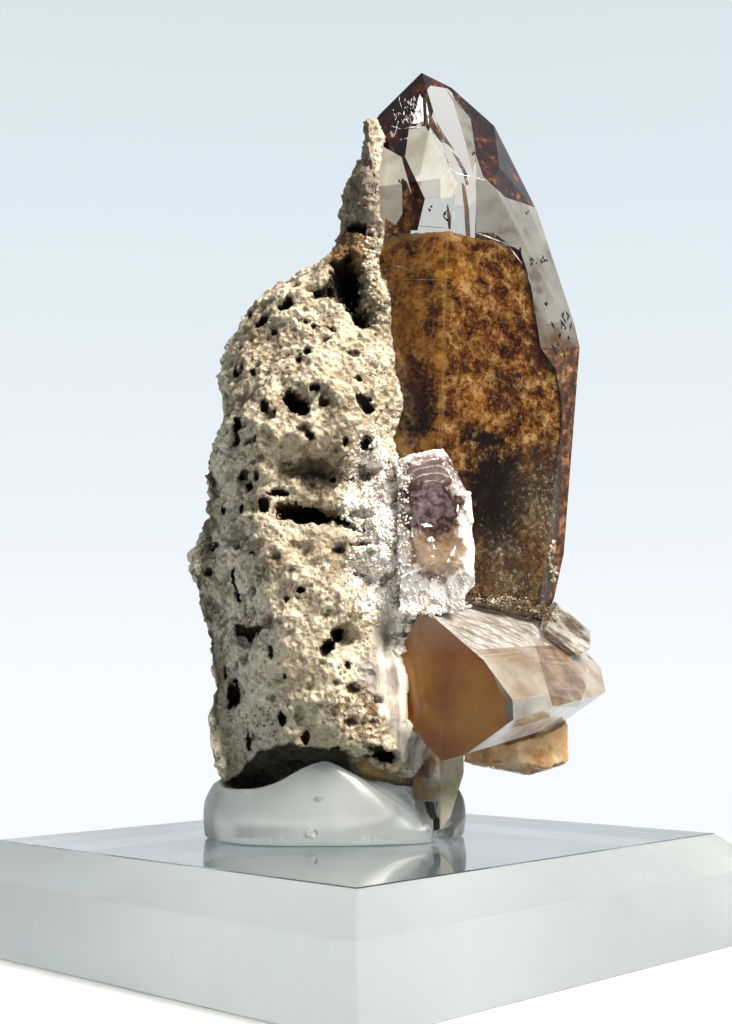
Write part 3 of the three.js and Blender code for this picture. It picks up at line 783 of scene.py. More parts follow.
# %% Helper that strews grains
def strewn(host, name, where, per_mm2, smallest, largest, seed, material):
    """A piece of grains on a host, denser where its attribute is high. Sizes are radii in millimetres."""
    tree = bpy.data.node_groups.new(name, "GeometryNodeTree")
    wanted = {
        "Host": ("NodeSocketGeometry", None),
        "Grains per square metre": ("NodeSocketFloat", per_mm2 / MM**2),
        "Smallest": ("NodeSocketFloat", smallest * MM),
        "Largest": ("NodeSocketFloat", largest * MM),
        "Seed": ("NodeSocketInt", seed),
        "Material": ("NodeSocketMaterial", material),
    }
    sockets = {
        label: tree.interface.new_socket(label, in_out="INPUT", socket_type=kind).identifier
        for label, (kind, _) in wanted.items()
    }
    tree.interface.new_socket("Grains", in_out="OUTPUT", socket_type="NodeSocketGeometry")
    given = add(tree, "NodeGroupInput").outputs
    field = add(tree, "GeometryNodeInputNamedAttribute", {"Name": where}, data_type="FLOAT")
    density = {0: field, 1: given["Grains per square metre"]}
    density = add(tree, "ShaderNodeMath", density, operation="MULTIPLY")
    spots = {"Mesh": given["Host"], "Density": density, "Seed": given["Seed"]}
    spots = add(tree, "GeometryNodeDistributePointsOnFaces", spots)
    grain = add(tree, "GeometryNodeMeshIcoSphere", {"Radius": 1.0, "Subdivisions": 1})
    size = {"Min": given["Smallest"], "Max": given["Largest"], "Seed": given["Seed"]}
    size = add(tree, "FunctionNodeRandomValue", size, data_type="FLOAT")
    turns = {"Min": (0, 0, 0), "Max": (math.tau,) * 3, "Seed": given["Seed"]}
    turns = add(tree, "FunctionNodeRandomValue", turns, data_type="FLOAT_VECTOR")
    grains = {"Points": spots, "Instance": grain, "Rotation": turns, "Scale": size}
    grains = add(tree, "GeometryNodeInstanceOnPoints", grains)
    real = add(tree, "GeometryNodeRealizeInstances", {"Geometry": grains})
    painted = {"Geometry": real, "Material": given["Material"]}
    painted = add(tree, "GeometryNodeSetMaterial", painted)
    add(tree, "NodeGroupOutput", {"Grains": painted})

    piece = new_piece(name, host.data)
    nodes = piece.modifiers.new("grains", "NODES")
    nodes.node_group = tree
    for label, (_, value) in wanted.items():
        if value is not None:
            nodes[sockets[label]] = value
    return settled(piece)


print("a grain is a sphere of 20 faces")

# %% [markdown]
# ### White and greenish grains
# Beside the middle crystal the grains are fine and white as snow. Up the spur they are larger and stained
# greyish green by clay. Both are small quartz crystals with a dull skin.

# %% White and greenish grains
GRAIN_NOISE = {"Scale": 1.3, "Detail": 4.0}
white_grains = mottled(
    "white_quartz_grains",
    GRAIN_NOISE,
    [(0.36, "#9a8a78"), (0.46, "#d9cfc4"), (0.58, "#f6f2ee")],
    Roughness=0.45,
    IOR=QUARTZ_IOR,
)
clay_grains = mottled(
    "clay_stained_quartz",
    GRAIN_NOISE,
    [(0.36, "#4e4634"), (0.48, "#8f8972"), (0.56, "#b3aa94"), (0.66, "#dcd2c2")],
    Roughness=0.45,
    IOR=QUARTZ_IOR,
)
smoky_grains = mottled(
    "smoky_quartz_grains",
    GRAIN_NOISE,
    [(0.36, "#3c2e20"), (0.48, "#74644e"), (0.58, "#a09078"), (0.68, "#d8cdbe")],
    Roughness=0.45,
    IOR=QUARTZ_IOR,
)
for name, where, per_mm2, smallest, largest, seed, finish in (
    ("snow_grains", "snow", 26.0, 0.05, 0.17, 4, white_grains),
    ("druse_grains", "druse", 7.0, 0.10, 0.26, 9, clay_grains),
):
    grains = strewn(rock, name, where, per_mm2, smallest, largest, seed, finish)
    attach(grains, "root")
    print(name, "has", len(grains.data.polygons), "faces")

# %% [markdown]
# ## Cut crystals
# A crystal's faces are truly flat and its edges are crisp, but no edge is a perfect line: it is worn by a few
# hundredths of a millimetre, and that thin strip catches the light. So the copy of each crystal gets a very
# small bevel.

# %% Helpers for crystals
CRYSTAL_EDGE = 0.05 * MM


def bevelled(shape, edge, sharper_than=4):
    """Wears the edges whose faces turn by more than so many degrees. Edge is how much comes off a face."""
    sharp = [e for e in shape.edges if e.calc_face_angle(0) > math.radians(sharper_than)]
    bmesh.ops.bevel(shape, geom=sharp, offset=edge, segments=1, affect="EDGES", clamp_overlap=True)


def crystal(node, name, edge, *materials):
    shape = merged(node)
    bevelled(shape, edge)
    return new_piece(name, as_mesh(shape, name), *materials)


def normal_of(face):
    """The way a face looks, in the specimen's directions."""
    return DIRECTIONS @ np.array(face.normal)


print("a crystal's edges are worn by", round(CRYSTAL_EDGE / MM, 2), "mm")

# %% [markdown]
# ### A finish for part of a face
# A real crystal's face isn't one colour: behind it lie clear and clouded parts, and where they end shows as a
# sharp line. Such a part is given by its outline as someone in front of it sees it. The faces are cut along
# the outline, by planes through the camera's place, and the pieces inside it get a finish of their own.

# %% Helper that gives part of a crystal's front a finish of its own
# outlines are drawn on an upright plane 7 mm before the specimen's middle
DRAWN_ON = -7


def seen_at(point):
    """Where a point is seen from the camera, as right and up on the plane that outlines are drawn on."""
    away = AWAY @ (point - camera.location)
    to_plane = AWAY @ place(0, DRAWN_ON, 0) - AWAY @ camera.location
    spot = camera.location + (point - camera.location) * (to_plane / away)
    return RIGHT @ spot / MM, UP @ spot / MM


def within(outline, right, up):
    """Whether a place lies inside an outline: a line from it crosses the outline an odd number of times."""
    inside = False
    for (x0, y0), (x1, y1) in zip(outline, outline[1:] + outline[:1]):
        if (y0 > up) != (y1 > up) and right < x0 + (x1 - x0) * (up - y0) / (y1 - y0):
            inside = not inside
    return inside


def geometry_of(faces):
    """Faces with their edges and corners, each once, and in the same order in every run."""
    edges = (e for f in faces for e in f.edges)
    verts = (v for f in faces for v in f.verts)
    return list(dict.fromkeys([*faces, *edges, *verts]))


def finish_within(shape, outline, finish):
    """Cuts the faces that look to the front along an outline, and gives those inside it a finish."""
    corners = [place(right, DRAWN_ON, up) for right, up in outline]
    for start, end in zip(corners, corners[1:] + corners[:1]):
        across = (start - camera.location).cross(end - camera.location).normalized()
        front = [f for f in shape.faces if f.normal @ (camera.location - f.calc_center_median()) > 0]
        bmesh.ops.bisect_plane(
            shape,
            geom=geometry_of(front),
            dist=DOUBLED,
            plane_co=camera.location,
            plane_no=across,
        )
    for face in shape.faces:
        middle_point = face.calc_center_median()
        if face.normal @ (camera.location - middle_point) > 0:
            if within(outline, *seen_at(middle_point)):
                face.material_index = finish


plane_away = AWAY @ place(0, DRAWN_ON, 0) - AWAY @ camera.location
print("outlines are drawn", round(plane_away / MM), "mm from the camera")

# %% [markdown]
# ## Main crystal
# Its outside is clear: sherry topaz is an aluminium silicate with a refractive index of 1.62, tinted brown.
# The clear part is one body with plain transmission and a weak brown absorption. Near the tip some faces look
# almost black with reddish depths, because no light comes through them. That dark is painted into their
# colour as painted shade: a noise from black to rust, and on one spot white cracks cross it.

# %% Clear sherry topaz and topaz painted dark
SHERRY_TINT = ("#c9b290", 20.0)
CRACKED_SPOT = (5.0, 72.4)
# one over the cracked oval's half width and half height
CRACKED_OVAL = (0.5, 0.6)
clear_topaz, tree, shader, mm = new_material(
    "clear_sherry_topaz",
    absorbs=SHERRY_TINT,
    Base_Color=linear("#f8f5ef"),
    Roughness=0.015,
    IOR=TOPAZ_IOR,
    Transmission_Weight=1.0,
)
# painted shade: these faces are painted almost black, for the dark seen where no light comes through
painted_dark_topaz, tree, shader, mm = new_material(
    "sherry_topaz_painted_dark",
    absorbs=SHERRY_TINT,
    Roughness=0.12,
    IOR=TOPAZ_IOR,
    Specular_IOR_Level=0.2,
    Transmission_Weight=0.5,
)
depth = {"Vector": mm, "Scale": 0.75, "Detail": 10.0, "Roughness": 0.72}
depth = add(tree, "ShaderNodeTexNoise", depth)
depth_stops = [(0.42, "#0e0101"), (0.53, "#240704"), (0.60, "#54200a"), (0.68, "#9a682e")]
depth_colour = add(tree, "ShaderNodeValToRGB", {"Fac": depth}, stops=depth_stops)
to_middle = (-CRACKED_SPOT[0] * CRACKED_OVAL[0], 0, -CRACKED_SPOT[1] * CRACKED_OVAL[1])
crack_place = {"Vector": mm, "Location": to_middle, "Scale": (CRACKED_OVAL[0], 0.0, CRACKED_OVAL[1])}
crack_place = add(tree, "ShaderNodeMapping", crack_place)
off_cracks = add(tree, "ShaderNodeVectorMath", {0: crack_place}, operation="LENGTH").outputs["Value"]
off_cracks = add(tree, "ShaderNodeMapRange", {"Value": off_cracks, "From Min": 0.7, "From Max": 1.1})
crack_grain = {"Vector": mm, "Rotation": (0, math.radians(-20), 0), "Scale": (1.5, 1.0, 0.6)}
crack_grain = add(tree, "ShaderNodeMapping", crack_grain)
crack_lines = add(tree, "ShaderNodeTexNoise", {"Vector": crack_grain, "Scale": 1.0, "Detail": 5.0})
crack_lines = add(tree, "ShaderNodeMath", {0: crack_lines, 1: -0.5}, operation="ADD")
crack_lines = add(tree, "ShaderNodeMath", {0: crack_lines}, operation="ABSOLUTE")
cracks = {0: off_cracks, 1: 0.5, 2: crack_lines}
cracks = add(tree, "ShaderNodeMath", cracks, operation="MULTIPLY_ADD")
dark_colour = painted_over(tree, depth_colour, [(cracks, 0.035, 0.012, "#efe9ee", 0.95)])
tree.links.new(dark_colour, shader.inputs["Base Color"])
print(clear_topaz.name, "and", painted_dark_topaz.name)

# %% [markdown]
# ### Painted backlight and brown parts
# Some faces are painted a pale, even grey: painted light for the bright backdrop that shows through the tip.
# Lower down it turns to brown smoke. Down the right edge runs a rim of opaque brown.

# %% Painted backlight and brown topaz
def painted_backlight_material(name, stops):
    """Topaz painted a pale grey for the light that shows through it, a painted backlight, which turns to
    brown smoke below the tip.
    """
    material, tree, shader, mm = new_material(
        name, absorbs=SHERRY_TINT, Roughness=0.1, IOR=TOPAZ_IOR, Transmission_Weight=0.55
    )
    backlight_noise = {"Vector": mm, "Scale": 0.4, "Detail": 5.0, "Roughness": 0.55}
    backlight_noise = add(tree, "ShaderNodeTexNoise", backlight_noise)
    backlight_colour = add(tree, "ShaderNodeValToRGB", {"Fac": backlight_noise}, stops=stops)
    height = add(tree, "ShaderNodeSeparateXYZ", {"Vector": mm}).outputs["Z"]
    smoke = add(tree, "ShaderNodeMath", {0: backlight_noise, 1: 9.0, 2: height}, operation="MULTIPLY_ADD")
    smoky_colour = painted_over(tree, backlight_colour, [(smoke, 59.5, 56.0, "#5a3c20", 0.95)])
    tree.links.new(smoky_colour, shader.inputs["Base Color"])
    return material


# painted backlight: panes painted grey and pale for the light that shows through the tip
grey_painted_backlight = painted_backlight_material("topaz_grey_painted_backlight", [(0.34, "#6a6558"), (0.44, "#84817a"), (0.60, "#92908a")])
pale_painted_backlight = painted_backlight_material("topaz_pale_painted_backlight", [(0.34, "#c4c0b0"), (0.46, "#d6d3c7"), (0.60, "#e2dfd5")])

rim_topaz = mottled(
    "rim_topaz",
    {"Scale": 1.2, "Detail": 9.0, "Roughness": 0.75},
    [(0.38, "#120602"), (0.47, "#2e1408"), (0.54, "#4e3014"), (0.66, "#86684a")],
    Roughness=0.5,
    IOR=TOPAZ_IOR,
    Specular_IOR_Level=0.2,
)
print(grey_painted_backlight.name, pale_painted_backlight.name, "and", rim_topaz.name)

# %% [markdown]
# ### Panes of the main crystal
# Each pane is an outline of (right, up) corners in millimetres. The later ones go over the earlier ones.

# %% Panes of the main crystal
# the dark panes carry painted shade
DARK_TIP = [
    (6.6, 77.5), (3.8, 76.5), (0.5, 72.0), (0.9, 70.1), (2.5, 69.4), (4.5, 68.1), (4.8, 68.4), (5.2, 70.9),
    (6.6, 70.9), (6.5, 73.8), (7.1, 74.6), (7.0, 76.9),
]
DARK_FACET = [(4.5, 68.1), (4.8, 68.1), (6.5, 64.4), (5.8, 61.5), (5.2, 61.5), (5.4, 64.8), (4.7, 67.2)]
DARK_RIGHT = [
    (7.0, 77.2), (7.1, 74.6), (8.6, 74.3), (9.3, 73.6), (10.6, 71.5), (11.0, 68.2), (11.6, 66.3),
    (13.5, 64.4), (16.0, 63.5), (17.4, 63.1), (16.2, 67.4), (13.4, 72.4), (9.9, 75.8),
]
# the pale panes are painted backlight
PALE_PANE = [(5.2, 70.9), (6.6, 70.9), (8.1, 68.3), (9.3, 65.7), (8.8, 64.4), (6.5, 64.3), (4.8, 68.1)]
PALE_STRIP = [(8.4, 74.4), (10.6, 71.5), (11.0, 68.2), (10.7, 66.6), (10.0, 69.8), (9.1, 73.0)]
PALE_LEFT = [
    (2.5, 69.3), (4.5, 68.1), (4.7, 67.2), (5.3, 65.0), (5.2, 61.5), (4.2, 61.5), (1.5, 61.5), (1.5, 69.3),
]
BROWN_LEFT = [
    (4.5, 66.2), (4.9, 65.9), (5.4, 64.4), (5.2, 61.3), (3.0, 61.3), (3.0, 62.6), (3.9, 62.0), (4.5, 63.0),
]
# painted backlight: a grey pane for the light that shows through the tip
GREY_BACKLIGHT_PANE = [
    (11.0, 68.2), (11.6, 66.3), (13.5, 64.4), (16.0, 63.5), (17.4, 63.1), (18.6, 58.6), (20.2, 52.5),
    (20.2, 51.0), (16.3, 51.0), (15.9, 54.0), (15.5, 57.0), (14.7, 59.6), (12.4, 61.2), (10.9, 61.3),
]
BROWN_RIM = [
    (16.3, 51.0), (21.0, 51.0), (21.0, 28.4), (16.4, 28.4), (17.3, 34.0), (17.8, 40.0), (18.0, 46.0),
    (17.6, 49.0),
]
MAIN_FINISHES = (clear_topaz, painted_dark_topaz, grey_painted_backlight, rim_topaz, pale_painted_backlight)
CLEAR, DARK, GREY_BACKLIGHT, BROWN, PALE = range(len(MAIN_FINISHES))
PANES = [
    (DARK, DARK_TIP),
    (DARK, DARK_FACET),
    (DARK, DARK_RIGHT),
    (GREY_BACKLIGHT, PALE_STRIP),
    (GREY_BACKLIGHT, GREY_BACKLIGHT_PANE),
    (BROWN, BROWN_RIM),
    (PALE, PALE_PANE),
    (PALE, PALE_LEFT),
    (BROWN, BROWN_LEFT),
]
shape = merged("main_crystal")
bevelled(shape, CRYSTAL_EDGE)
for finish, outline in PANES:
    finish_within(shape, outline, finish)
main = new_piece("main_topaz", as_mesh(shape, "main_topaz"), *MAIN_FINISHES)
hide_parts("main_crystal")
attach(main, "root")
print("main crystal:", len(main.data.polygons), "faces")

# %% [markdown]
# ## The clouded heart of the main crystal
# Up to a sharp line near its tip the crystal is full of brown inclusions: it grew round an earlier, clouded
# crystal, which collectors call a phantom. It is made as a body of its own inside the clear one.

# %% Helpers for bodies between planes
def planes_of(node):
    """The flat faces of a node as unit normals and distances, in millimetres of the specimen."""
    shape = merged(node)
    corners = in_specimen_mm(np.array([v.co for v in shape.verts]))
    found = []
    for face in shape.faces:
        normal = normal_of(face)
        reach = float(normal @ corners[face.verts[0].index])
        if np.max(corners @ normal) < reach + 0.05:
            found.append((normal, reach))
    shape.free()
    return found


def leaning(turn, lean, right, away, up):
    """A plane through a point, which faces turn degrees round from the right and leans up by lean."""
    round_, tilt = math.radians(turn), math.radians(lean)
    normal = np.array(
        [math.cos(round_) * math.cos(tilt), math.sin(round_) * math.cos(tilt), math.sin(tilt)]
    )
    return normal, float(normal @ np.array([right, away, up]))


def body_within(planes):
    """The convex body that planes bound, as a bmesh in the scene's metres."""
    normals = np.array([n for n, _ in planes])
    reaches = np.array([r for _, r in planes])
    shape = bmesh.new()
    for i in range(len(planes)):
        for j in range(i + 1, len(planes)):
            for k in range(j + 1, len(planes)):
                three = normals[[i, j, k]]
                if abs(np.linalg.det(three)) < 1e-3:
                    continue
                point = np.linalg.solve(three, reaches[[i, j, k]])
                if np.all(normals @ point < reaches + 1e-4):
                    shape.verts.new(place(*point))
    bmesh.ops.remove_doubles(shape, verts=shape.verts, dist=0.01 * MM)
    bmesh.ops.convex_hull(shape, input=shape.verts)
    bmesh.ops.recalc_face_normals(shape, faces=shape.faces)
    return shape


print("the main crystal has", len(planes_of("main_crystal")), "flat faces")

# %% [markdown]
# ### The phantom's body
# The phantom lies half a millimetre under the main crystal's faces, and ends above in sloping planes of its
# own. Its skin is uneven.

# %% Phantom
PHANTOM_INSET = 0.5
PHANTOM_VOXEL = 0.22 * MM
inset = [(n, r - PHANTOM_INSET) for n, r in planes_of("main_crystal")]
upper_heart = inset + [
    leaning(0, 86, 8, 0, 61.6),
    leaning(-40, 55, 15.0, -4, 60.0),
    leaning(10, 18, 16.8, -3.5, 56),
]
lower_heart = inset + [leaning(20, 70, 14, -4, 52.4)]
shape = body_within(upper_heart)
lower_mesh = as_mesh(body_within(lower_heart), "lower_heart")
shape.from_mesh(lower_mesh)
phantom = skinned(new_piece("phantom_cloud", as_mesh(shape, "phantom_cloud")), PHANTOM_VOXEL)
points = corners_of(phantom.data)
points_mm = in_specimen_mm(points)
lumps = 0.22 * noise_at(points_mm, 2.2, offset=3.0) + 0.1 * noise_at(points_mm, 0.7, offset=5.0)
move_corners(phantom.data, points + normals_of(phantom.data) * ((lumps - 0.1) * MM)[:, None])
smooth(phantom)
print("phantom:", len(phantom.data.polygons), "faces")

# %% [markdown]
# ### Parts of the phantom
# It is golden in some parts, frosted grey at its foot and right side, maroon or nearly black in others. The
# golden is partly its tone and partly a painted glow of light from behind, and the nearly black is painted
# shadow. Under the main crystal's front edge runs a thin pale line, a painted highlight of that edge. To its
# left the phantom is a paler golden brown: partly its tone, partly painted light on the side turned from the
# lamp.

# %% Parts of the phantom
def cloud_part(right, up, wide, tall):
    """1 in the middle of an upright oval of the phantom, and 0 at its edge."""
    ring = np.hypot((points_mm[:, 0] - right) / wide, (points_mm[:, 2] - up) / tall)
    return np.clip(1 - ring, 0, 1)


def strongest(*parts):
    """The largest of some ovals at each corner. Each is how strong it is, and the oval itself."""
    return np.maximum.reduce([strength * cloud_part(*oval) for strength, oval in parts])


front_edge = 7.5 + 0.047 * (points_mm[:, 2] - 42.0)
# left of the crystal's front edge, which the material paints a paler golden: partly painted light on the side
# turned from the lamp
left_part = smooth_step(0.15, -0.15, points_mm[:, 0] - front_edge)
# a thin line under the main crystal's front edge, which the material paints pale: painted highlight
edge_line = np.clip(1 - np.abs(points_mm[:, 0] - front_edge) / 0.24, 0, 1)
maroon_left = strongest(
    (0.85, (5.8, 47.2, 3.8, 5.8)), (0.7, (7.2, 54.6, 1.5, 3.2)), (0.4, (5.4, 57.6, 3.4, 2.0))
)
maroon_right = strongest(
    (0.8, (16.6, 51.6, 2.2, 5.0)), (0.75, (17.4, 41.0, 3.0, 6.0)), (0.7, (13.6, 48.0, 4.0, 1.6))
)
phantom_masks = {
    "left_part": left_part,
    "shadow": strongest(
        (1, (12.6, 38.4, 5.2, 7.6)), (0.6, (5.4, 44.5, 3.2, 3.4)), (0.8, (11.4, 43.4, 4.0, 1.7))
    ),
    # golden patches: partly its tone, partly a painted glow of light from behind
    "golden": strongest(
        (1, (4.4, 53.5, 4.0, 5.5)), (0.8, (9.5, 58.0, 4.5, 4.0)), (0.7, (11.0, 46.5, 3.5, 3.5))
    ),
    "frost": strongest(
        (1, (16.8, 37.5, 4.6, 8.5)), (0.9, (13.0, 33.5, 6.0, 3.4)), (0.95, (13.6, 31.0, 7.5, 3.8))
    ),
    "maroon": np.maximum(maroon_left * left_part, maroon_right),
    "edge_line": edge_line * smooth_step(40.0, 43.0, points_mm[:, 2]),
}
for name, mask in phantom_masks.items():
    write_attribute(phantom.data, name, mask)
print(len(phantom_masks), "parts of the phantom")

# %% [markdown]
# ## Clouded topaz as a material
# The inclusions are tiny cracks and films of iron oxide. They scatter light, so the cloud is made of colour
# and not of clear depth: rust-brown veils, golden patches that are partly a painted glow of light from
# behind, near-black painted shadow, a pale painted highlight along the front edge and greyish frost.

# %% Clouded topaz material
cloud, tree, shader, mm = new_material("clouded_topaz", Roughness=0.9, Specular_IOR_Level=0.0)
warp = add(tree, "ShaderNodeTexNoise", {"Vector": mm, "Scale": 0.5, "Detail": 4.0})
warped = {0: warp.outputs["Color"], 1: (1.6, 1.6, 1.2), 2: mm}
warped = add(tree, "ShaderNodeVectorMath", warped, operation="MULTIPLY_ADD")
broad = {"Vector": warped, "Scale": 0.6, "Detail": 12.0, "Roughness": 0.82}
broad = add(tree, "ShaderNodeTexNoise", broad)
flecks = {"Vector": mm, "Scale": 2.4, "Detail": 8.0, "Roughness": 0.8}
flecks = add(tree, "ShaderNodeTexNoise", flecks)
cloud_stops = [(0.40, "#180601"), (0.455, "#4a1f06"), (0.50, "#7a4c18"), (0.545, "#a0753a")]
cloud_stops.append((0.60, "#d2b482"))
cloud_colour = add(tree, "ShaderNodeValToRGB", {"Fac": broad}, stops=cloud_stops)
masks = {
    name: add(tree, "ShaderNodeAttribute", attribute_name=name).outputs["Fac"] for name in phantom_masks
}
# the noise that breaks up each mask's edge, and how much of it is added
ragged = {
    "left_part": (broad, 1.6),
    "golden": (broad, 1.6),
    "shadow": (broad, -1.6),
    "maroon": (flecks, -1.8),
}
broken_up = {
    name: add(tree, "ShaderNodeMath", {0: pattern, 1: much, 2: masks[name]}, operation="MULTIPLY_ADD")
    for name, (pattern, much) in ragged.items()
}
frost_flecks = {0: masks["frost"], 1: 0.16, 2: flecks}
frost_flecks = add(tree, "ShaderNodeMath", frost_flecks, operation="MULTIPLY_ADD")
height = add(tree, "ShaderNodeSeparateXYZ", {"Vector": mm}).outputs["Z"]
cloud_layers = painted_over(
    tree,
    cloud_colour,
    [
        # paler golden left of the front edge: partly its tone, partly painted light on the side turned from
        # the lamp
        (broken_up["left_part"], 1.66, 1.94, "#d09038", 0.7),
        # golden: partly its tone, partly a painted glow of light from behind
        (broken_up["golden"], 1.2, 1.7, "#b8801c", 0.5),
        (flecks, 0.56, 0.66, "#cfae7a", 0.6),
        (flecks, 0.45, 0.36, "#351206", 0.85),
        (broken_up["maroon"], -0.62, -0.30, "#3a0f06", 0.9),
        (broken_up["shadow"], -0.6, -0.28, "#170602", 0.98),
        (masks["frost"], 0.1, 0.75, "#4a3e2c", 0.7),
        (frost_flecks, 0.60, 0.70, "#867b6a", 0.7),
        (frost_flecks, 0.69, 0.76, "#ddd6cb", 0.75),
        # painted highlight: a pale line under the main crystal's front edge
        (masks["edge_line"], 0.2, 0.8, "#a88850", 0.55),
        (height, 60.9, 61.5, "#c9a878", 0.5),
    ],
)
tree.links.new(cloud_layers, shader.inputs["Base Color"])
phantom.data.materials.append(cloud)
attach(phantom, "root")
print("clouded topaz on", phantom.name)

# %% [markdown]
# ## Veils, cracks and needles in the clear tip
# Near the tip, rust-red films lie just under some of the faces, and white cracks run along the edges between
# them. Short black needles of a manganese mineral hang in the clear part. A film is a very thin plate with a
# straight outline, set just under the face. Needles and cracks are slivers, thick in the middle and pointed
# at the ends.

# %% Helpers for films and slivers
main_tree = crystal_trees[0]


def under_face(right, up, deep):
    """The point deep millimetres under the main crystal's front, and the way the face looks. Its place is
    given as it is seen from the camera, on the plane that outlines are drawn on."""
    aim = place(right, DRAWN_ON, up)
    spot, normal, _, _ = main_tree.ray_cast(camera.location, (aim - camera.location).normalized())
    if spot is None:
        spot, normal, _, _ = main_tree.find_nearest(aim)
    return spot - normal * deep * MM, normal


def film(shape, outline, deep, thick=0.05):
    """Adds a thin closed plate under the main crystal's face, from its outline of (right, up) points."""
    fronts, backs = [], []
    for right, up in outline:
        spot, normal = under_face(right, up, deep)
        fronts.append(shape.verts.new(spot))
        backs.append(shape.verts.new(spot - normal * thick * MM))
    count = len(outline)
    faces = [shape.faces.new(fronts), shape.faces.new(backs[::-1])]
    for i in range(count):
        j = (i + 1) % count
        faces.append(shape.faces.new((fronts[j], fronts[i], backs[i], backs[j])))
    bmesh.ops.triangulate(shape, faces=faces[:2])


def sliver(shape, start, end, thick):
    """Adds a pointed sliver from start to end, with four sides."""
    along = (end - start).normalized()
    side = along.cross(AWAY).normalized() * thick
    depth = along.cross(side).normalized() * thick
    middle = (start + end) / 2
    tips = [shape.verts.new(start), shape.verts.new(end)]
    belt = [shape.verts.new(middle + offset) for offset in (side, depth, -side, -depth)]
    for i in range(4):
        shape.faces.new((tips[0], belt[i], belt[(i + 1) % 4]))
        shape.faces.new((tips[1], belt[(i + 1) % 4], belt[i]))


def closed_piece(shape, name, material):
    bmesh.ops.recalc_face_normals(shape, faces=shape.faces)
    piece = new_piece(name, as_mesh(shape, name), material)
    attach(piece, "root")
    print(name, "has", len(piece.data.polygons), "faces")
    return piece


print("the tip's front is at", [round(v, 1) for v in under_face(6.0, 74.0, 0)[0] / MM], "mm in the scene")

# %% [markdown]
# ### Rust-red films
# Four narrow films of iron oxide lie a third of a millimetre under the faces of the tip.

# %% Rust-red films
rust = mottled(
    "rust_film",
    {"Scale": 0.8, "Detail": 10.0, "Roughness": 0.75},
    [(0.40, "#2a120a"), (0.50, "#543418"), (0.58, "#7c5830"), (0.70, "#a8885c")],
    Roughness=0.3,
    IOR=1.6,
)
FILMS = [
    [(9.8, 65.8), (10.1, 65.6), (10.4, 63.4), (10.5, 61.0), (10.1, 60.9), (10.0, 63.5)],
    [(8.4, 63.9), (8.5, 63.8), (8.75, 62.8), (8.7, 61.6), (8.5, 61.7), (8.4, 62.8)],
    [(6.9, 72.4), (7.6, 71.5), (8.3, 70.2), (9.2, 68.8), (8.2, 69.6), (6.9, 70.9)],
    [(9.0, 68.6), (9.6, 68.0), (10.2, 66.8), (10.4, 65.6), (10.2, 65.6), (9.9, 66.8), (9.4, 67.8)],
]
shape = bmesh.new()
for outline in FILMS:
    film(shape, outline, deep=0.35)
closed_piece(shape, "rust_films", rust)

# %% [markdown]
# ### White cracks
# Healed cracks follow the edges between the faces, and a shower of tiny ones fills the dark tip. They are
# white because each is full of flat bubbles.

# %% White cracks
scratch = mottled(
    "healed_crack",
    {"Scale": 2.0, "Detail": 3.0},
    [(0.35, "#8f888c"), (0.5, "#e2dde0"), (0.65, "#ffffff")],
    Roughness=0.4,
    IOR=1.6,
)
JUST_UNDER = 0.01
TINY_CRACKS = 60
# right and up of one end, right and up of the other, half thickness, in millimetres
CRACKS = [
    (6.7, 73.3, 6.9, 70.9, 0.11),
    (6.9, 71.0, 8.0, 68.9, 0.05),
    (8.0, 68.9, 9.3, 66.0, 0.05),
    (6.2, 73.6, 6.4, 70.9, 0.18),
    (5.7, 72.4, 6.1, 70.9, 0.16),
    (3.4, 71.0, 4.6, 70.6, 0.06),
    (4.6, 70.7, 6.4, 70.8, 0.10),
    (9.1, 65.0, 8.9, 61.3, 0.03),
    (5.0, 62.0, 8.7, 61.6, 0.06),
    (10.6, 61.4, 13.6, 60.2, 0.05),
    (13.6, 60.2, 15.0, 58.2, 0.04),
    (3.2, 58.6, 5.2, 57.9, 0.025),
    (3.7, 57.2, 8.4, 57.0, 0.02),
]
shape = bmesh.new()
random = np.random.default_rng(21)
for right, up, other_right, other_up, thick in CRACKS:
    start = under_face(right, up, JUST_UNDER)[0]
    end = under_face(other_right, other_up, JUST_UNDER)[0]
    sliver(shape, start, end, thick * MM)
for _ in range(TINY_CRACKS):
    right, up = random.triangular(3.6, 6.2, 6.3), random.uniform(70.9, 73.2)
    lean, reach = random.uniform(-0.7, 0.5), random.uniform(0.2, 0.8)
    start = under_face(right, up, JUST_UNDER)[0]
    end = under_face(right + lean * reach, up + reach, JUST_UNDER)[0]
    sliver(shape, start, end, random.uniform(0.02, 0.06) * MM)
# a white plate beside the dark tip: partly the healed crack, partly a painted highlight of a bright facet
film(shape, [(5.85, 72.6), (6.15, 73.8), (6.4, 73.4), (6.45, 71.2), (5.5, 71.1)], -0.04)
closed_piece(shape, "healed_cracks", scratch)

# %% [markdown]
# ### Black needles
# The needles hang in small clusters. Each cluster has a place, a reach and a number of needles, and each
# needle's place, lean and length are random.

# %% Black needles
black = mottled(
    "black_mineral",
    {"Scale": 3.0, "Detail": 2.0},
    [(0.4, "#080606"), (0.7, "#241c18")],
    Roughness=0.6,
    IOR=1.8,
    Specular_IOR_Level=0.1,
)
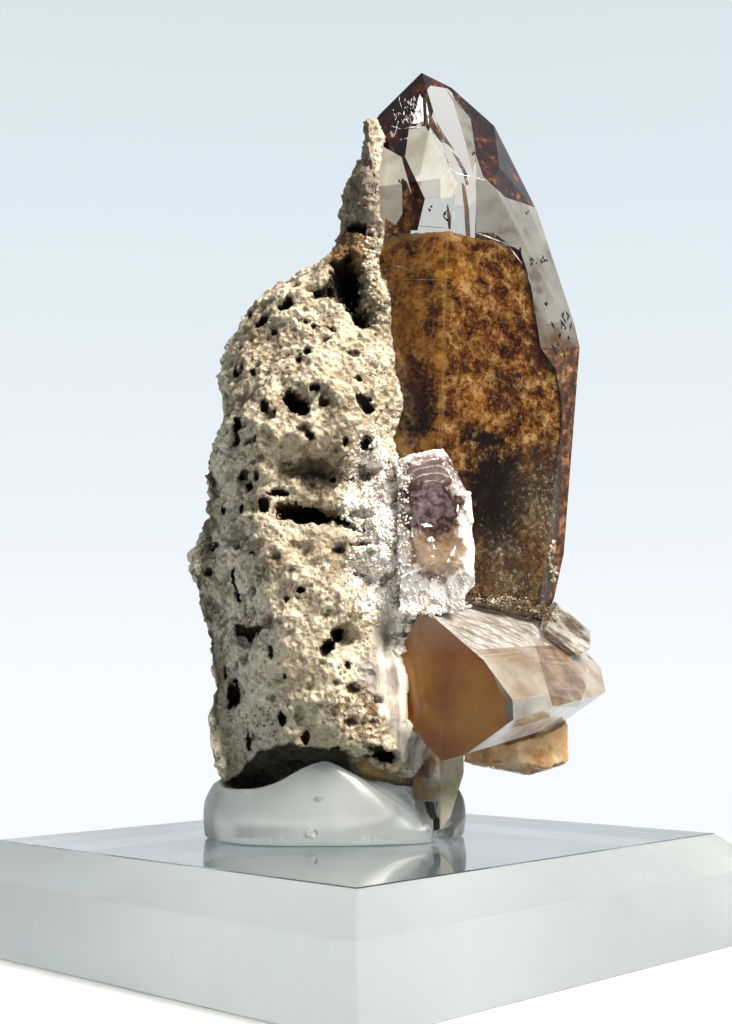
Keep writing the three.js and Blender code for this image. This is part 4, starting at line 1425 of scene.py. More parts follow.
# right, up, reach, how many
NEEDLES = [
    (15.7, 58.4, 0.5, 6),
    (16.6, 58.6, 0.5, 5),
    (18.4, 52.6, 1.0, 12),
    (18.2, 50.9, 0.8, 8),
    (16.9, 54.6, 0.3, 3),
    (15.4, 62.7, 0.3, 2),
    (14.2, 47.8, 0.9, 10),
    (12.7, 48.4, 0.5, 5),
    (13.4, 45.6, 0.3, 4),
    (7.0, 63.2, 0.3, 3),
    (4.6, 65.6, 0.3, 4),
    (8.3, 62.6, 0.5, 4),
    (10.7, 68.2, 0.4, 2),
    (14.6, 59.4, 0.3, 4),
    (17.4, 47.2, 0.2, 2),
]
shape = bmesh.new()
for right, up, spread, count in NEEDLES:
    for _ in range(count):
        x, z = right + random.normal(0, 0.35) * spread, up + random.normal(0, 0.5) * spread
        reach = random.uniform(0.3, 0.6) * (0.5 + spread)
        lean = random.uniform(-0.8, 0.8)
        start = under_face(x, z, JUST_UNDER)[0]
        end = under_face(x + lean * reach, z + reach, JUST_UNDER)[0]
        sliver(shape, start, end, random.uniform(0.07, 0.16) * MM)
closed_piece(shape, "black_needles", black)

# %% [markdown]
# ### Grains on the right edge
# Where the main crystal's right edge meets the lower crystal, a few dull grains have grown on it.

# %% Grains on the right edge
EDGE_GRAINS = 26
shape = bmesh.new()
for _ in range(EDGE_GRAINS):
    spot = under_face(random.uniform(16.6, 17.2), random.uniform(30.8, 34.2), 0.05)[0]
    turn = Matrix.Rotation(random.uniform(0, math.tau), 4, "Y")
    size = Matrix.Diagonal((*(random.uniform(0.14, 0.34, 3) * MM), 1))
    bmesh.ops.create_icosphere(shape, subdivisions=1, radius=1, matrix=Matrix.Translation(spot) @ turn @ size)
closed_piece(shape, "edge_grains", smoky_grains)

# %% [markdown]
# ## Lower crystal
# It was snapped off, so its near end is one smooth cleavage face, glossy and orange-brown. Its top is frosted
# with fine growth lines along the crystal, and its lower faces are clear and painted pale, as painted light
# for the bright backdrop seen through them. Each kind of face has its own finish. The growth lines are cut
# into the top faces as narrow steps.

# %% Growth lines on a face
def striate(shape, faces, along, spacing, lift, seed):
    """Cuts flat faces into strips along a direction, and lifts or sinks the corners inside them."""
    random = np.random.default_rng(seed)
    normal = faces[0].normal.copy()
    across = along.cross(normal).normalized()
    edge_loop = [v for f in faces for v in f.verts]
    region = geometry_of(faces)
    for direction, step in ((across, spacing), (along.normalized(), spacing * 4)):
        reach = [direction @ v.co for v in edge_loop]
        where = min(reach) + step * random.uniform(0.3, 0.9)
        while where < max(reach):
            region = bmesh.ops.bisect_plane(
                shape,
                geom=region,
                dist=0.001 * MM,
                plane_co=direction * where,
                plane_no=direction,
            )["geom"]
            where += step * random.uniform(0.6, 1.5)
    made = [g for g in region if isinstance(g, bmesh.types.BMFace)]
    inner = [v for f in made for v in f.verts if all(other in made for other in v.link_faces)]
    lines = {}
    for corner in dict.fromkeys(inner):
        key = round(across @ corner.co / (0.02 * MM))
        lines.setdefault(key, random.uniform(-1, 1) * lift)
        corner.co += normal * (lines[key] + random.uniform(-0.4, 0.4) * lift)


LOWER_AXIS = (RIGHT * 0.67 + AWAY * 0.74 + UP * 0.05).normalized()
print("the lower crystal points along", [round(v, 2) for v in LOWER_AXIS])

# %% [markdown]
# ### Peach topaz
# The crystal's tint is the same everywhere, so its finishes share one absorption. What differs is what lies
# just under each face: peach haze, a little darker on the side faces as painted shade, brown haze, a white
# that is painted light for the bright backdrop seen through the lower faces, or clear glass. Each is one
# noise of its own.

# %% Peach topaz
PEACH_TINT = ("#cfa184", 40.0)
peach = mottled(
    "peach_topaz",
    {"Scale": 0.28, "Detail": 5.0},
    [(0.36, "#967f69"), (0.48, "#ab9c89"), (0.62, "#bfb6a8")],
    absorbs=PEACH_TINT,
    Roughness=0.12,
    IOR=TOPAZ_IOR,
    Transmission_Weight=0.55,
)
browner = mottled(
    "brown_peach_topaz",
    {"Scale": 0.6, "Detail": 6.0},
    [(0.36, "#68503a"), (0.5, "#826852"), (0.62, "#9c846e")],
    absorbs=PEACH_TINT,
    Roughness=0.15,
    IOR=TOPAZ_IOR,
    Transmission_Weight=0.5,
)
# painted light: the lower faces are painted white for the bright backdrop seen through them
painted_backdrop_pale = mottled(
    "pale_topaz_painted_backdrop",
    {"Scale": 0.5, "Detail": 6.0},
    [(0.36, "#e2d8de"), (0.5, "#f2edf4"), (0.64, "#ffffff")],
    absorbs=PEACH_TINT,
    Roughness=0.18,
    IOR=TOPAZ_IOR,
    Transmission_Weight=0.5,
)
glassy = mottled(
    "glassy_topaz",
    {"Scale": 0.5, "Detail": 6.0},
    [(0.36, "#aaa49a"), (0.5, "#c6c2b8"), (0.64, "#dcd8d0")],
    absorbs=PEACH_TINT,
    Roughness=0.1,
    IOR=TOPAZ_IOR,
    Transmission_Weight=0.7,
)
print(peach.name, browner.name, painted_backdrop_pale.name, glassy.name)

# %% [markdown]
# ### The cleaved end
# Topaz splits across its length as cleanly as slate. The split face is glossy, with a few flecks and hairline
# scratches, and one looks through it into orange-brown depth. Towards its top the colour pales.

# %% Cleaved topaz
cleaved, tree, shader, mm = new_material(
    "cleaved_topaz", absorbs=PEACH_TINT, Roughness=0.14, IOR=TOPAZ_IOR, Transmission_Weight=0.5
)
haze = add(tree, "ShaderNodeTexNoise", {"Vector": mm, "Scale": 0.22, "Detail": 6.0})
haze_stops = [(0.32, "#9c5008"), (0.5, "#c47010"), (0.68, "#d89428")]
haze_colour = add(tree, "ShaderNodeValToRGB", {"Fac": haze}, stops=haze_stops)
up_the_face = add(tree, "ShaderNodeSeparateXYZ", {"Vector": mm}).outputs["Z"]
flecks = {"Vector": mm, "Scale": 2.0, "Detail": 6.0, "Roughness": 0.8}
flecks = add(tree, "ShaderNodeTexNoise", flecks)
scratches = {"Vector": mm, "Rotation": (0, math.radians(38), 0), "Scale": (3.4, 3.4, 0.22)}
scratches = add(tree, "ShaderNodeMapping", scratches)
scratches = add(tree, "ShaderNodeTexNoise", {"Vector": scratches, "Scale": 1.0, "Detail": 3.0})
face_colour = painted_over(
    tree,
    haze_colour,
    [
        (up_the_face, 24.6, 27.6, "#dcb89a", 0.8),
        (flecks, 0.36, 0.28, "#6a3808", 0.5),
        (flecks, 0.60, 0.70, "#e0b888", 0.5),
        (scratches, 0.70, 0.74, "#f0d8b8", 0.3),
    ],
)
tree.links.new(face_colour, shader.inputs["Base Color"])
print("the cleaved end pales from 24.6 to 27.6 mm up")

# %% [markdown]
# ### The frosted top and the finger
# Growth left the top faces covered with fine lines, which frost them. The finger that grew on the far edge is
# veined along its length. Both patterns are a noise, stretched by the scale of a Mapping node.

# %% Frosted and veined topaz
frosted, tree, shader, mm = new_material(
    "frosted_topaz", absorbs=PEACH_TINT, Roughness=0.36, IOR=TOPAZ_IOR, Transmission_Weight=0.5
)
stretched = {"Vector": mm, "Rotation": (0, 0, math.radians(-48)), "Scale": (0.3, 2.6, 1)}
stretched = add(tree, "ShaderNodeMapping", stretched)
frosting = {"Vector": stretched, "Scale": 1.0, "Detail": 9.0, "Roughness": 0.75}
frosting = add(tree, "ShaderNodeTexNoise", frosting)
frosting_stops = [(0.36, "#5f5348"), (0.46, "#9c9288"), (0.54, "#c6c0ba"), (0.66, "#f4f2f0")]
frosting_colour = add(tree, "ShaderNodeValToRGB", {"Fac": frosting}, stops=frosting_stops)
tree.links.new(frosting_colour.outputs[0], shader.inputs["Base Color"])
ridges = add(tree, "ShaderNodeBump", {"Strength": 1.0, "Distance": 0.12 * MM, "Height": frosting})
tree.links.new(ridges.outputs[0], shader.inputs["Normal"])

veined, tree, shader, mm = new_material(
    "veined_topaz", absorbs=PEACH_TINT, Roughness=0.14, IOR=TOPAZ_IOR, Transmission_Weight=0.6
)
stretched = {"Vector": mm, "Rotation": (0, math.radians(32), 0), "Scale": (2.4, 2.4, 0.6)}
stretched = add(tree, "ShaderNodeMapping", stretched, vector_type="TEXTURE")
veins = {"Vector": stretched, "Scale": 1.0, "Detail": 7.0, "Roughness": 0.65}
veins = add(tree, "ShaderNodeTexNoise", veins)
vein_stops = [(0.38, "#6a5a4c"), (0.46, "#998d80"), (0.54, "#c4bfb6"), (0.64, "#efece8")]
vein_colour = add(tree, "ShaderNodeValToRGB", {"Fac": veins}, stops=vein_stops)
tree.links.new(vein_colour.outputs[0], shader.inputs["Base Color"])
print(frosted.name, "and", veined.name)

# %% [markdown]
# ### The lower crystal's body
# First the growth lines are cut into the top faces, then the edges are worn, and then each face gets the
# finish of the way that it looks. Four parts of the front have outlines of their own.

# %% Lower crystal
# the peach side is painted a little darker than the top: painted shade for the turn of these faces that the
# mesh lacks, over their peach tint
PEACH_SIDE = [
    (10.2, 25.1), (14.9, 25.4), (20.2, 25.5), (22.6, 24.6), (22.6, 20.9), (13.1, 19.6), (11.0, 24.6),
]
BROWN_STEP = [(15.3, 25.4), (17.6, 25.4), (19.5, 22.0), (18.8, 20.2), (16.6, 20.4)]
GLASSY_STRIP = [(12.6, 20.6), (16.2, 21.5), (16.4, 19.4), (12.8, 18.4)]
FINGER = [(15.6, 25.9), (16.6, 30.2), (21.6, 27.6), (20.8, 24.0), (18.6, 24.6)]
LOWER_FINISHES = (peach, cleaved, frosted, painted_backdrop_pale, browner, glassy, veined)
PEACH, CLEAVED, FROSTED, PAINTED_PALE, BROWNER, GLASSY, VEINED = range(len(LOWER_FINISHES))
TO_CLEAVED_END = np.array([-0.67, -0.74, -0.05])
LINES_APART = 0.28 * MM
LINES_LIFT = 0.05 * MM
LOWER_EDGE = 0.06 * MM

shape = merged("lower_crystal")
top_faces = [f for f in shape.faces if normal_of(f)[2] > 0.5]
for i, face in enumerate(top_faces):
    striate(shape, [face], LOWER_AXIS, LINES_APART, LINES_LIFT, seed=11 + i)
bevelled(shape, LOWER_EDGE, sharper_than=12)
for face in shape.faces:
    looks = normal_of(face)
    if looks @ TO_CLEAVED_END > 0.96:
        face.material_index = CLEAVED
    elif looks[2] > 0.45:
        face.material_index = FROSTED
    elif looks[2] < -0.35:
        face.material_index = PAINTED_PALE
for finish, outline in ((PEACH, PEACH_SIDE), (BROWNER, BROWN_STEP), (GLASSY, GLASSY_STRIP), (VEINED, FINGER)):
    finish_within(shape, outline, finish)
lower = new_piece("lower_topaz", as_mesh(shape, "lower_topaz"), *LOWER_FINISHES)
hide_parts("lower_crystal")
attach(lower, "root")
print("lower crystal:", len(lower.data.polygons), "faces")

# %% [markdown]
# ## Rear crystal
# It hangs under the lower one: a tan, cloudy stump. A crystal that broke has an uneven skin, so it is
# remeshed, worn with noise, and bitten into below, where it is ragged.

# %% Rear crystal
REAR_VOXEL = 0.22 * MM
RAGGED_FROM = 17.5
FULLY_RAGGED_AT = 14.0

tan = mottled(
    "tan_topaz",
    {"Scale": 0.4, "Detail": 9.0, "Roughness": 0.7},
    [(0.34, "#b07c48"), (0.44, "#dcb07c"), (0.54, "#f0d0a0"), (0.66, "#fce8cc")],
    absorbs=("#b98858", 30.0),
    Roughness=0.22,
    IOR=TOPAZ_IOR,
    Transmission_Weight=0.5,
)
rear = remeshed("rear_crystal", "rear_topaz", REAR_VOXEL)
points = corners_of(rear.data)
points_mm = in_specimen_mm(points)
at_end = smooth_step(RAGGED_FROM, FULLY_RAGGED_AT, points_mm[:, 2])
uneven = 0.25 * noise_at(points_mm, 2.4, offset=7.0) + 0.1 * noise_at(points_mm, 0.7, offset=8.0)
bites = np.maximum(noise_at(points_mm, 1.6, offset=12.0), 0) * at_end
inwards = 0.4 * np.abs(uneven) + 1.1 * bites - 0.06 * uneven
move_corners(rear.data, points - normals_of(rear.data) * (inwards * MM)[:, None])
rear.data.materials.append(tan)
smooth(rear)
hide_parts("rear_crystal")
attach(rear, "root")
print("rear crystal:", len(rear.data.polygons), "faces, worn by up to", round(float(inwards.max()), 1), "mm")

# %% [markdown]
# ## Foot crystal
# It is a short stub of greyish topaz with its tip in the gel. Its left side is rusty with one dark red spot,
# its top is cream, and its tip is pale with dark growth stripes. A nearly black band runs down its right
# side. Each is a mask made from how far right and how high a place is.

# %% Grey topaz
RED_SPOT = (6.2, -4.0, 15.0)
DARK_BAND_AT = 9.9

grey, tree, shader, mm = new_material(
    "grey_topaz", absorbs=("#b8a488", 14.0), Roughness=0.2, IOR=TOPAZ_IOR, Transmission_Weight=0.5
)
mottle = {"Vector": mm, "Scale": 0.5, "Detail": 9.0, "Roughness": 0.7}
mottle = add(tree, "ShaderNodeTexNoise", mottle)
# the ground is near white: the stub's pale tone, raised as painted light for the lamp light that the lower
# crystal keeps off it
mottle_stops = [(0.34, "#cbb486"), (0.44, "#e6d6b2"), (0.54, "#f6ecd4"), (0.66, "#fff9ea")]
mottle_colour = add(tree, "ShaderNodeValToRGB", {"Fac": mottle}, stops=mottle_stops)
place_mm = add(tree, "ShaderNodeSeparateXYZ", {"Vector": mm}).outputs
right_of, height = place_mm["X"], place_mm["Z"]
stripes = add(tree, "ShaderNodeMapping", {"Vector": mm, "Scale": (3.2, 3.2, 0.25)})
stripes = {"Vector": stripes, "Scale": 1.0, "Detail": 4.0, "Roughness": 0.6}
stripes = add(tree, "ShaderNodeTexNoise", stripes)
tip = add(tree, "ShaderNodeMapRange", {"Value": height, "From Min": 12.5, "From Max": 12.3})
left_tip = add(tree, "ShaderNodeMapRange", {"Value": right_of, "From Min": 7.3, "From Max": 7.1})
left_tip = add(tree, "ShaderNodeMath", {0: tip, 1: left_tip}, operation="MULTIPLY")
tip_stripes = add(tree, "ShaderNodeMath", {0: left_tip, 1: stripes}, operation="MULTIPLY")
off_band = {0: height, 1: 0.3, 2: right_of}
off_band = add(tree, "ShaderNodeMath", off_band, operation="MULTIPLY_ADD")
off_band = add(tree, "ShaderNodeMath", {0: off_band, 1: DARK_BAND_AT}, operation="SUBTRACT")
off_band = add(tree, "ShaderNodeMath", {0: off_band}, operation="ABSOLUTE")
off_band = add(tree, "ShaderNodeMath", {0: stripes, 1: 1.0, 2: off_band}, operation="MULTIPLY_ADD")
off_band = add(tree, "ShaderNodeMath", {0: left_tip, 1: -2.2, 2: off_band}, operation="MULTIPLY_ADD")
rusty = add(tree, "ShaderNodeMath", {0: mottle, 1: 5.0, 2: right_of}, operation="MULTIPLY_ADD")
cream_top = add(tree, "ShaderNodeMath", {0: right_of, 1: -0.8, 2: height}, operation="MULTIPLY_ADD")
red_spot = {0: mm, 1: RED_SPOT}
red_spot = add(tree, "ShaderNodeVectorMath", red_spot, operation="DISTANCE").outputs["Value"]
red_spot = add(tree, "ShaderNodeMath", {0: mottle, 1: 2.0, 2: red_spot}, operation="MULTIPLY_ADD")
foot_colour = painted_over(
    tree,
    mottle_colour,
    [
        (rusty, 9.6, 8.2, "#b0823a", 0.85),
        (red_spot, 2.05, 1.75, "#5a1e10", 0.8),
        (cream_top, 10.9, 11.4, "#f4ead8", 0.9),
        (left_tip, 0.0, 1.0, "#ece8e2", 0.85),
        (tip_stripes, 0.53, 0.57, "#3c332a", 0.8),
        (off_band, -1.28, -1.4, "#120a08", 0.95),
    ],
)
tree.links.new(foot_colour, shader.inputs["Base Color"])
print(grey.name, "has its ground and 6 layers")

# %% [markdown]
# ### The foot crystal's body
# Its lower right side tapers in three flat cuts. Each cuts the mesh with a plane, takes away what lies
# outside, and closes the hole.

# %% Foot crystal
# right and up of a point on each cut, and the way the cut faces as right and up
TAPER = [((9.2, 14.4), (3.1, -1.05)), ((8.2, 11.2), (1.2, -1.1)), ((7.1, 10.0), (0.4, -1.6))]

foot = crystal("foot_crystal", "foot_topaz", CRYSTAL_EDGE, grey)
shape = bmesh.new()
shape.from_mesh(foot.data)
for corner, outward in TAPER:
    cut = bmesh.ops.bisect_plane(
        shape,
        geom=[*shape.verts, *shape.edges, *shape.faces],
        plane_co=place(corner[0], -3, corner[1]),
        plane_no=(RIGHT * outward[0] + UP * outward[1]).normalized(),
        clear_outer=True,
    )["geom_cut"]
    bmesh.ops.holes_fill(shape, edges=[e for e in cut if isinstance(e, bmesh.types.BMEdge)])
shape.to_mesh(foot.data)
shape.free()
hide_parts("foot_crystal")
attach(foot, "root")
print("foot crystal:", len(foot.data.polygons), "faces")

# %% [markdown]
# ## Middle crystal
# It stands in front of the main one and its tip was struck off, so it ends in a shell-shaped break with
# curved ribs. Where it is bruised it is white, and between the bruises one looks into purplish brown glass.
# Bright lines along its ribs are a painted highlight, and lilac glints in its smoky part a painted
# reflection.

# %% Broken topaz
RIB_MIDDLE = (7.4, -8.4, 37.4)
RIB_TURN_PER_MM = 5.2

broken, tree, shader, mm = new_material(
    "broken_topaz", absorbs=("#a58078", 40.0), IOR=TOPAZ_IOR, Specular_IOR_Level=0.3
)
bruises = {"Vector": mm, "Scale": 0.9, "Detail": 9.0, "Roughness": 0.72}
bruises = add(tree, "ShaderNodeTexNoise", bruises)
bruised, smoky, tan_part, ribbed = [
    add(tree, "ShaderNodeAttribute", attribute_name=name).outputs["Fac"]
    for name in ("bruised", "smoky", "tan_part", "ribbed")
]
amount = add(tree, "ShaderNodeMath", {0: bruises, 1: 1.0, 2: bruised}, operation="MULTIPLY_ADD")
amount = add(tree, "ShaderNodeMapRange", {"Value": amount, "From Min": 0.9, "From Max": 1.45})
inner_stops = [(0.38, "#6e4c42"), (0.47, "#a88a7e"), (0.55, "#d2beb4"), (0.66, "#f4ece8")]
inner = add(tree, "ShaderNodeValToRGB", {"Fac": bruises}, stops=inner_stops)
wander = {0: bruises, 1: (1.1,) * 3, 2: mm}
wander = add(tree, "ShaderNodeVectorMath", wander, operation="MULTIPLY_ADD")
from_middle = {0: wander, 1: RIB_MIDDLE}
from_middle = add(tree, "ShaderNodeVectorMath", from_middle, operation="DISTANCE").outputs["Value"]
waves = {0: from_middle, 1: RIB_TURN_PER_MM}
waves = add(tree, "ShaderNodeMath", waves, operation="MULTIPLY")
waves = add(tree, "ShaderNodeMath", {0: waves}, operation="SINE")
waves = add(tree, "ShaderNodeMath", {0: waves}, operation="ABSOLUTE")
curved_lines = add(tree, "ShaderNodeMath", {0: waves, 1: -0.9, 2: ribbed}, operation="MULTIPLY_ADD")
glints = {"Vector": mm, "Scale": 1.5, "Detail": 8.0, "Roughness": 0.75}
glints = add(tree, "ShaderNodeTexNoise", glints)
lilac = add(tree, "ShaderNodeMath", {0: glints, 1: 1.0, 2: smoky}, operation="MULTIPLY_ADD")
dark_glass = add(tree, "ShaderNodeMath", {0: bruises, 1: -1.0, 2: smoky}, operation="MULTIPLY_ADD")
broken_colour = painted_over(
    tree,
    inner,
    [
        (tan_part, 0.0, 0.9, "#b09474", 0.7),
        (dark_glass, -0.5, 0.25, "#3c2420", 0.95),
        # painted reflection: lilac glints in the smoky part
        (lilac, 1.4, 1.62, "#a8969a", 0.85),
        (ribbed, 0.2, 1.0, "#8e7a78", 0.7),
        # painted highlight: bright lines along the curved ribs
        (curved_lines, 0.66, 0.9, "#f2ecee", 0.9),
        (amount, 0.0, 1.0, "#ece7e4", 0.95),
    ],
)
clearness = add(tree, "ShaderNodeMapRange", {"Value": amount, "To Min": 0.6, "To Max": 0.2})
matt = add(tree, "ShaderNodeMapRange", {"Value": amount, "To Min": 0.12, "To Max": 0.4})
tree.links.new(broken_colour, shader.inputs["Base Color"])
tree.links.new(clearness.outputs[0], shader.inputs["Transmission Weight"])
tree.links.new(matt.outputs[0], shader.inputs["Roughness"])
print("curved ribs every", round(math.pi / RIB_TURN_PER_MM, 2), "mm")

# %% [markdown]
# ### The broken front
# Topaz breaks like glass: in a shallow, rippled dish, with ribs that curve round the point of the blow and
# small flat chips. The ribs are waves of the distance from that point, the chips are the cells of a Voronoi
# pattern, each cut flat, and in the dish the front gives way to one smooth, rippled plane.

# %% Middle crystal's shape
MIDDLE_VOXEL = 0.13 * MM
# where the blow fell, how wide a chip is, and the hollow's right, up, half width and half height
STRIKE = (3.6, -9.0, 44.5)
CHIP = 2.1
HOLLOW = (6.7, 36.6, 3.0, 5.2)

middle = remeshed("middle_crystal", "middle_topaz", MIDDLE_VOXEL)
points = corners_of(middle.data)
points_mm = in_specimen_mm(points)
right_mm, away_mm, up_mm = points_mm.T
away_from_strike = np.linalg.norm(points_mm - STRIKE, axis=1)
on_break = smooth_step(37.0, 39.5, up_mm)
ribs = np.abs(np.sin(away_from_strike * 4.6 + 1.2 * noise_at(points_mm, 2.6))) ** 0.6
chips = np.zeros(len(points_mm))
for i, point in enumerate(points_mm / CHIP + 7.0):
    centre = noise.voronoi(Vector(point))[1][0]
    lean = noise.cell_vector(centre * 9.7) - Vector((0.5, 0.5, 0.5))
    chips[i] = max(lean @ (Vector(point) - centre) + 0.25, 0) * CHIP
fracture = 0.10 * noise_at(points_mm, 2.2, octaves=2, offset=30.0)
settle = 0.6 * smooth_step(30.4, 28.8, up_mm)
# a shell-shaped hollow: in it the front gives way to one shallow dish with ripples round its own middle
in_hollow = 1 - np.hypot((right_mm - HOLLOW[0]) / HOLLOW[2], (up_mm - HOLLOW[1]) / HOLLOW[3])
on_front = normals_of(middle.data) @ np.array(AWAY) < -0.2
hollow = smooth_step(0.0, 0.3, in_hollow) * on_front
plane_terms = np.column_stack([np.ones(len(points_mm)), right_mm, up_mm])
flat, *_ = np.linalg.lstsq(plane_terms[hollow > 0.5], away_mm[hollow > 0.5], rcond=None)
ripples = 0.06 * np.sin(2.6 * np.hypot(right_mm - 7.4, up_mm - 34.8) + 0.8 * noise_at(points_mm, 1.8))
dish = plane_terms @ flat + 0.35 + 0.35 * np.clip(in_hollow, 0, 1) + ripples
inwards = 0.10 * on_break * (1 - ribs) + fracture + 0.3 * chips * (1 - 0.9 * hollow)
moved = points - normals_of(middle.data) * (inwards * MM)[:, None]
moved += np.array(AWAY) * (hollow * np.maximum(dish - away_mm, 0) * MM)[:, None]
moved[:, 2] -= settle * MM
move_corners(middle.data, moved)
smooth(middle)
print("the hollow is", round(float((hollow * np.maximum(dish - away_mm, 0)).max()), 2), "mm deep")

# %% [markdown]
# ### Clear, ribbed and bruised parts
# Three ovals of the front are clear: a smoky one, a tan one below it and a ribbed one above. All else is
# bruised white. Fine white grains crust its left side, its foot and its top.

# %% Parts and crust of the middle crystal
edge = 0.35 * noise_at(points_mm, 1.0, offset=37.0)
in_smoke = 1.35 - np.hypot((right_mm - 6.5) / 2.8, (up_mm - 37.2) / 3.0) + edge
in_ribs = 1.3 - np.hypot((right_mm - 6.8) / 2.7, (up_mm - 40.2) / 1.5) + edge
in_tan = 1.3 - np.hypot((right_mm - 7.0) / 2.5, (up_mm - 33.6) / 3.2) + edge
write_attribute(middle.data, "smoky", smooth_step(0.1, 0.8, in_smoke))
write_attribute(middle.data, "tan_part", smooth_step(0.1, 0.8, in_tan))
write_attribute(middle.data, "ribbed", smooth_step(0.1, 0.7, in_ribs))
clear_part = np.maximum(np.maximum(in_smoke, in_tan), in_ribs)
write_attribute(middle.data, "bruised", 1 - smooth_step(0.0, 0.8, clear_part))
edge = 0.5 * noise_at(points_mm, 1.2, offset=33.0)
on_left = smooth_step(5.2, 3.9, right_mm + edge)
at_foot = smooth_step(31.4, 29.2, up_mm + edge)
crust = np.maximum(np.maximum(on_left, at_foot), 0.5 * smooth_step(41.0, 42.2, up_mm + edge))
write_attribute(middle.data, "crust", crust)
middle.data.materials.append(broken)
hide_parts("middle_crystal")
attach(middle, "root")
crust_grains = strewn(middle, "crust_grains", "crust", 16.0, 0.05, 0.13, 12, white_grains)
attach(crust_grains, "root")
print("middle crystal:", len(middle.data.polygons), "faces")
print("its grains:", len(crust_grains.data.polygons), "faces")

# %% [markdown]
# ### Grains where the pieces meet
# Where the crystals and the rock have grown together, small grains fill the crease between them. A ray from
# the camera finds the crease, and each grain sits on the nearer of the two sides.

# %% Grains in the creases
seen = bpy.context.evaluated_depsgraph_get()
piece_trees = [BVHTree.FromObject(piece, seen) for piece in (rock, main, lower, middle)]


def nearest_seen(right, up):
    """How far the first piece is from the camera at a place on the specimen, and the way there."""
    ahead = (place(right, DRAWN_ON, up) - camera.location).normalized()
    hits = [tree.ray_cast(camera.location, ahead) for tree in piece_trees]
    return min((hit[3] for hit in hits if hit[0] is not None), default=None), ahead


def grown_along(shape, path, count, spread, smallest, largest, reach=0.4):
    """Adds grains at random along a path of (right, up) corners. A grain sits on the second nearest of the
    five places on and round its own, so that it lies in the crease and not in front of it."""
    around = ((-reach, 0), (reach, 0), (0, reach), (0, -reach), (0, 0))
    for _ in range(count):
        i = random.integers(len(path) - 1)
        share = random.random()
        right = path[i][0] * (1 - share) + path[i + 1][0] * share + random.normal(0, spread)
        up = path[i][1] * (1 - share) + path[i + 1][1] * share + random.normal(0, spread)
        _, ahead = nearest_seen(right, up)
        found = [nearest_seen(right + x, up + z)[0] for x, z in around]
        found = [far for far in found if far is not None]
        if len(found) < len(around):
            continue
        far = sorted(found)[1]
        spot = camera.location + ahead * far
        size = random.uniform(smallest, largest, 3) * MM
        turn = Matrix.Rotation(random.uniform(0, math.tau), 4, random.choice(("X", "Y", "Z")))
        matrix = Matrix.Translation(spot) @ turn @ Matrix.Diagonal((*size, 1))
        bmesh.ops.create_icosphere(shape, subdivisions=1, radius=1, matrix=matrix)


random = np.random.default_rng(8)
shape = bmesh.new()
grown_along(shape, [(3.5, 41.4), (3.4, 35.3), (3.4, 29.0)], 520, 0.26, 0.07, 0.22)
grown_along(shape, [(3.4, 28.6), (6.4, 28.35), (9.6, 28.95)], 260, 0.16, 0.08, 0.26)
grown_along(shape, [(3.9, 28.6), (3.9, 25.2)], 140, 0.25, 0.10, 0.32)
grown_along(shape, [(4.0, 28.5), (5.0, 28.2), (4.3, 26.8)], 120, 0.15, 0.12, 0.36)
closed_piece(shape, "crease_grains", white_grains)
shape = bmesh.new()
grown_along(shape, [(10.4, 29.3), (14.0, 29.0), (17.0, 27.9)], 320, 0.34, 0.04, 0.13)
closed_piece(shape, "seam_grains", smoky_grains)

# %% [markdown]
# ## Gel
# A lump of soft museum gel holds the specimen. It was pressed up in front of the rock in a dome, and its
# free edge hangs round and thick. It is slightly hazy, and a few bubbles are caught in it.

# %% Museum gel
gel_material = mottled(
    "clear_museum_gel",
    {"Scale": 0.16, "Detail": 3.0},
    [(0.35, "#d4d7d2"), (0.5, "#dfe1dc"), (0.65, "#eceee9")],
    absorbs=("#c6c8c4", 9.0),
    Roughness=0.26,
    IOR=GEL_IOR,
    Transmission_Weight=0.8,
)
print(gel_material.name)

# %% [markdown]
# ### The gel's shape
# In front its top follows the edge of a dome, highest near the middle. Its foot swells forward, and a Smooth
# modifier rounds the whole. Then its underside is laid flat on the block.

# %% Gel
GEL_VOXEL = 0.3 * MM
ON_THE_BLOCK = 9.04 * MM
DOME_RIGHT = (-13.4, -12.4, -11.0, -8.6, -6.4, -4.5, -3.2, -2.4, -1.4, 0.0, 2.0, 3.7, 5.4, 9.7)
DOME_UP = (10.6, 12.0, 12.8, 13.3, 14.2, 15.3, 15.8, 15.9, 15.5, 14.7, 13.4, 12.2, 11.2, 11.8)

gel = remeshed("gel_pad", "gel_lump", GEL_VOXEL)
points = corners_of(gel.data)
points_mm = in_specimen_mm(points)
low, high = points_mm[:, 2].min(), 13.0
dome = np.interp(points_mm[:, 0], DOME_RIGHT, DOME_UP)
in_front = smooth_step(-2.5, -5.5, points_mm[:, 1])
share = np.clip((points_mm[:, 2] - low) / (high - low), 0, 1)
lifted = low + share * (dome - low)
points_mm[:, 2] += (lifted - points_mm[:, 2]) * in_front
points_mm[:, 1] -= in_front * 1.0 * (1 - share)
move_corners(gel.data, (points_mm @ DIRECTIONS) * MM)
soften = gel.modifiers.new("soften", "SMOOTH")
soften.factor = 0.5
soften.iterations = 14
settled(gel)
points = corners_of(gel.data)
flat = smooth_step(0.7 * MM, 0.15 * MM, points[:, 2] - points[:, 2].min())
points[:, 2] += (ON_THE_BLOCK - points[:, 2]) * flat
move_corners(gel.data, points)
gel.data.materials.append(gel_material)
smooth(gel)
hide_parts("gel_pad")
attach(gel, "root")
print("gel:", len(gel.data.polygons), "faces")

# %% [markdown]
# ### Bubbles in the gel
# Two bubbles of air were pressed in with the gel. They lie just under its front and look bluish grey.

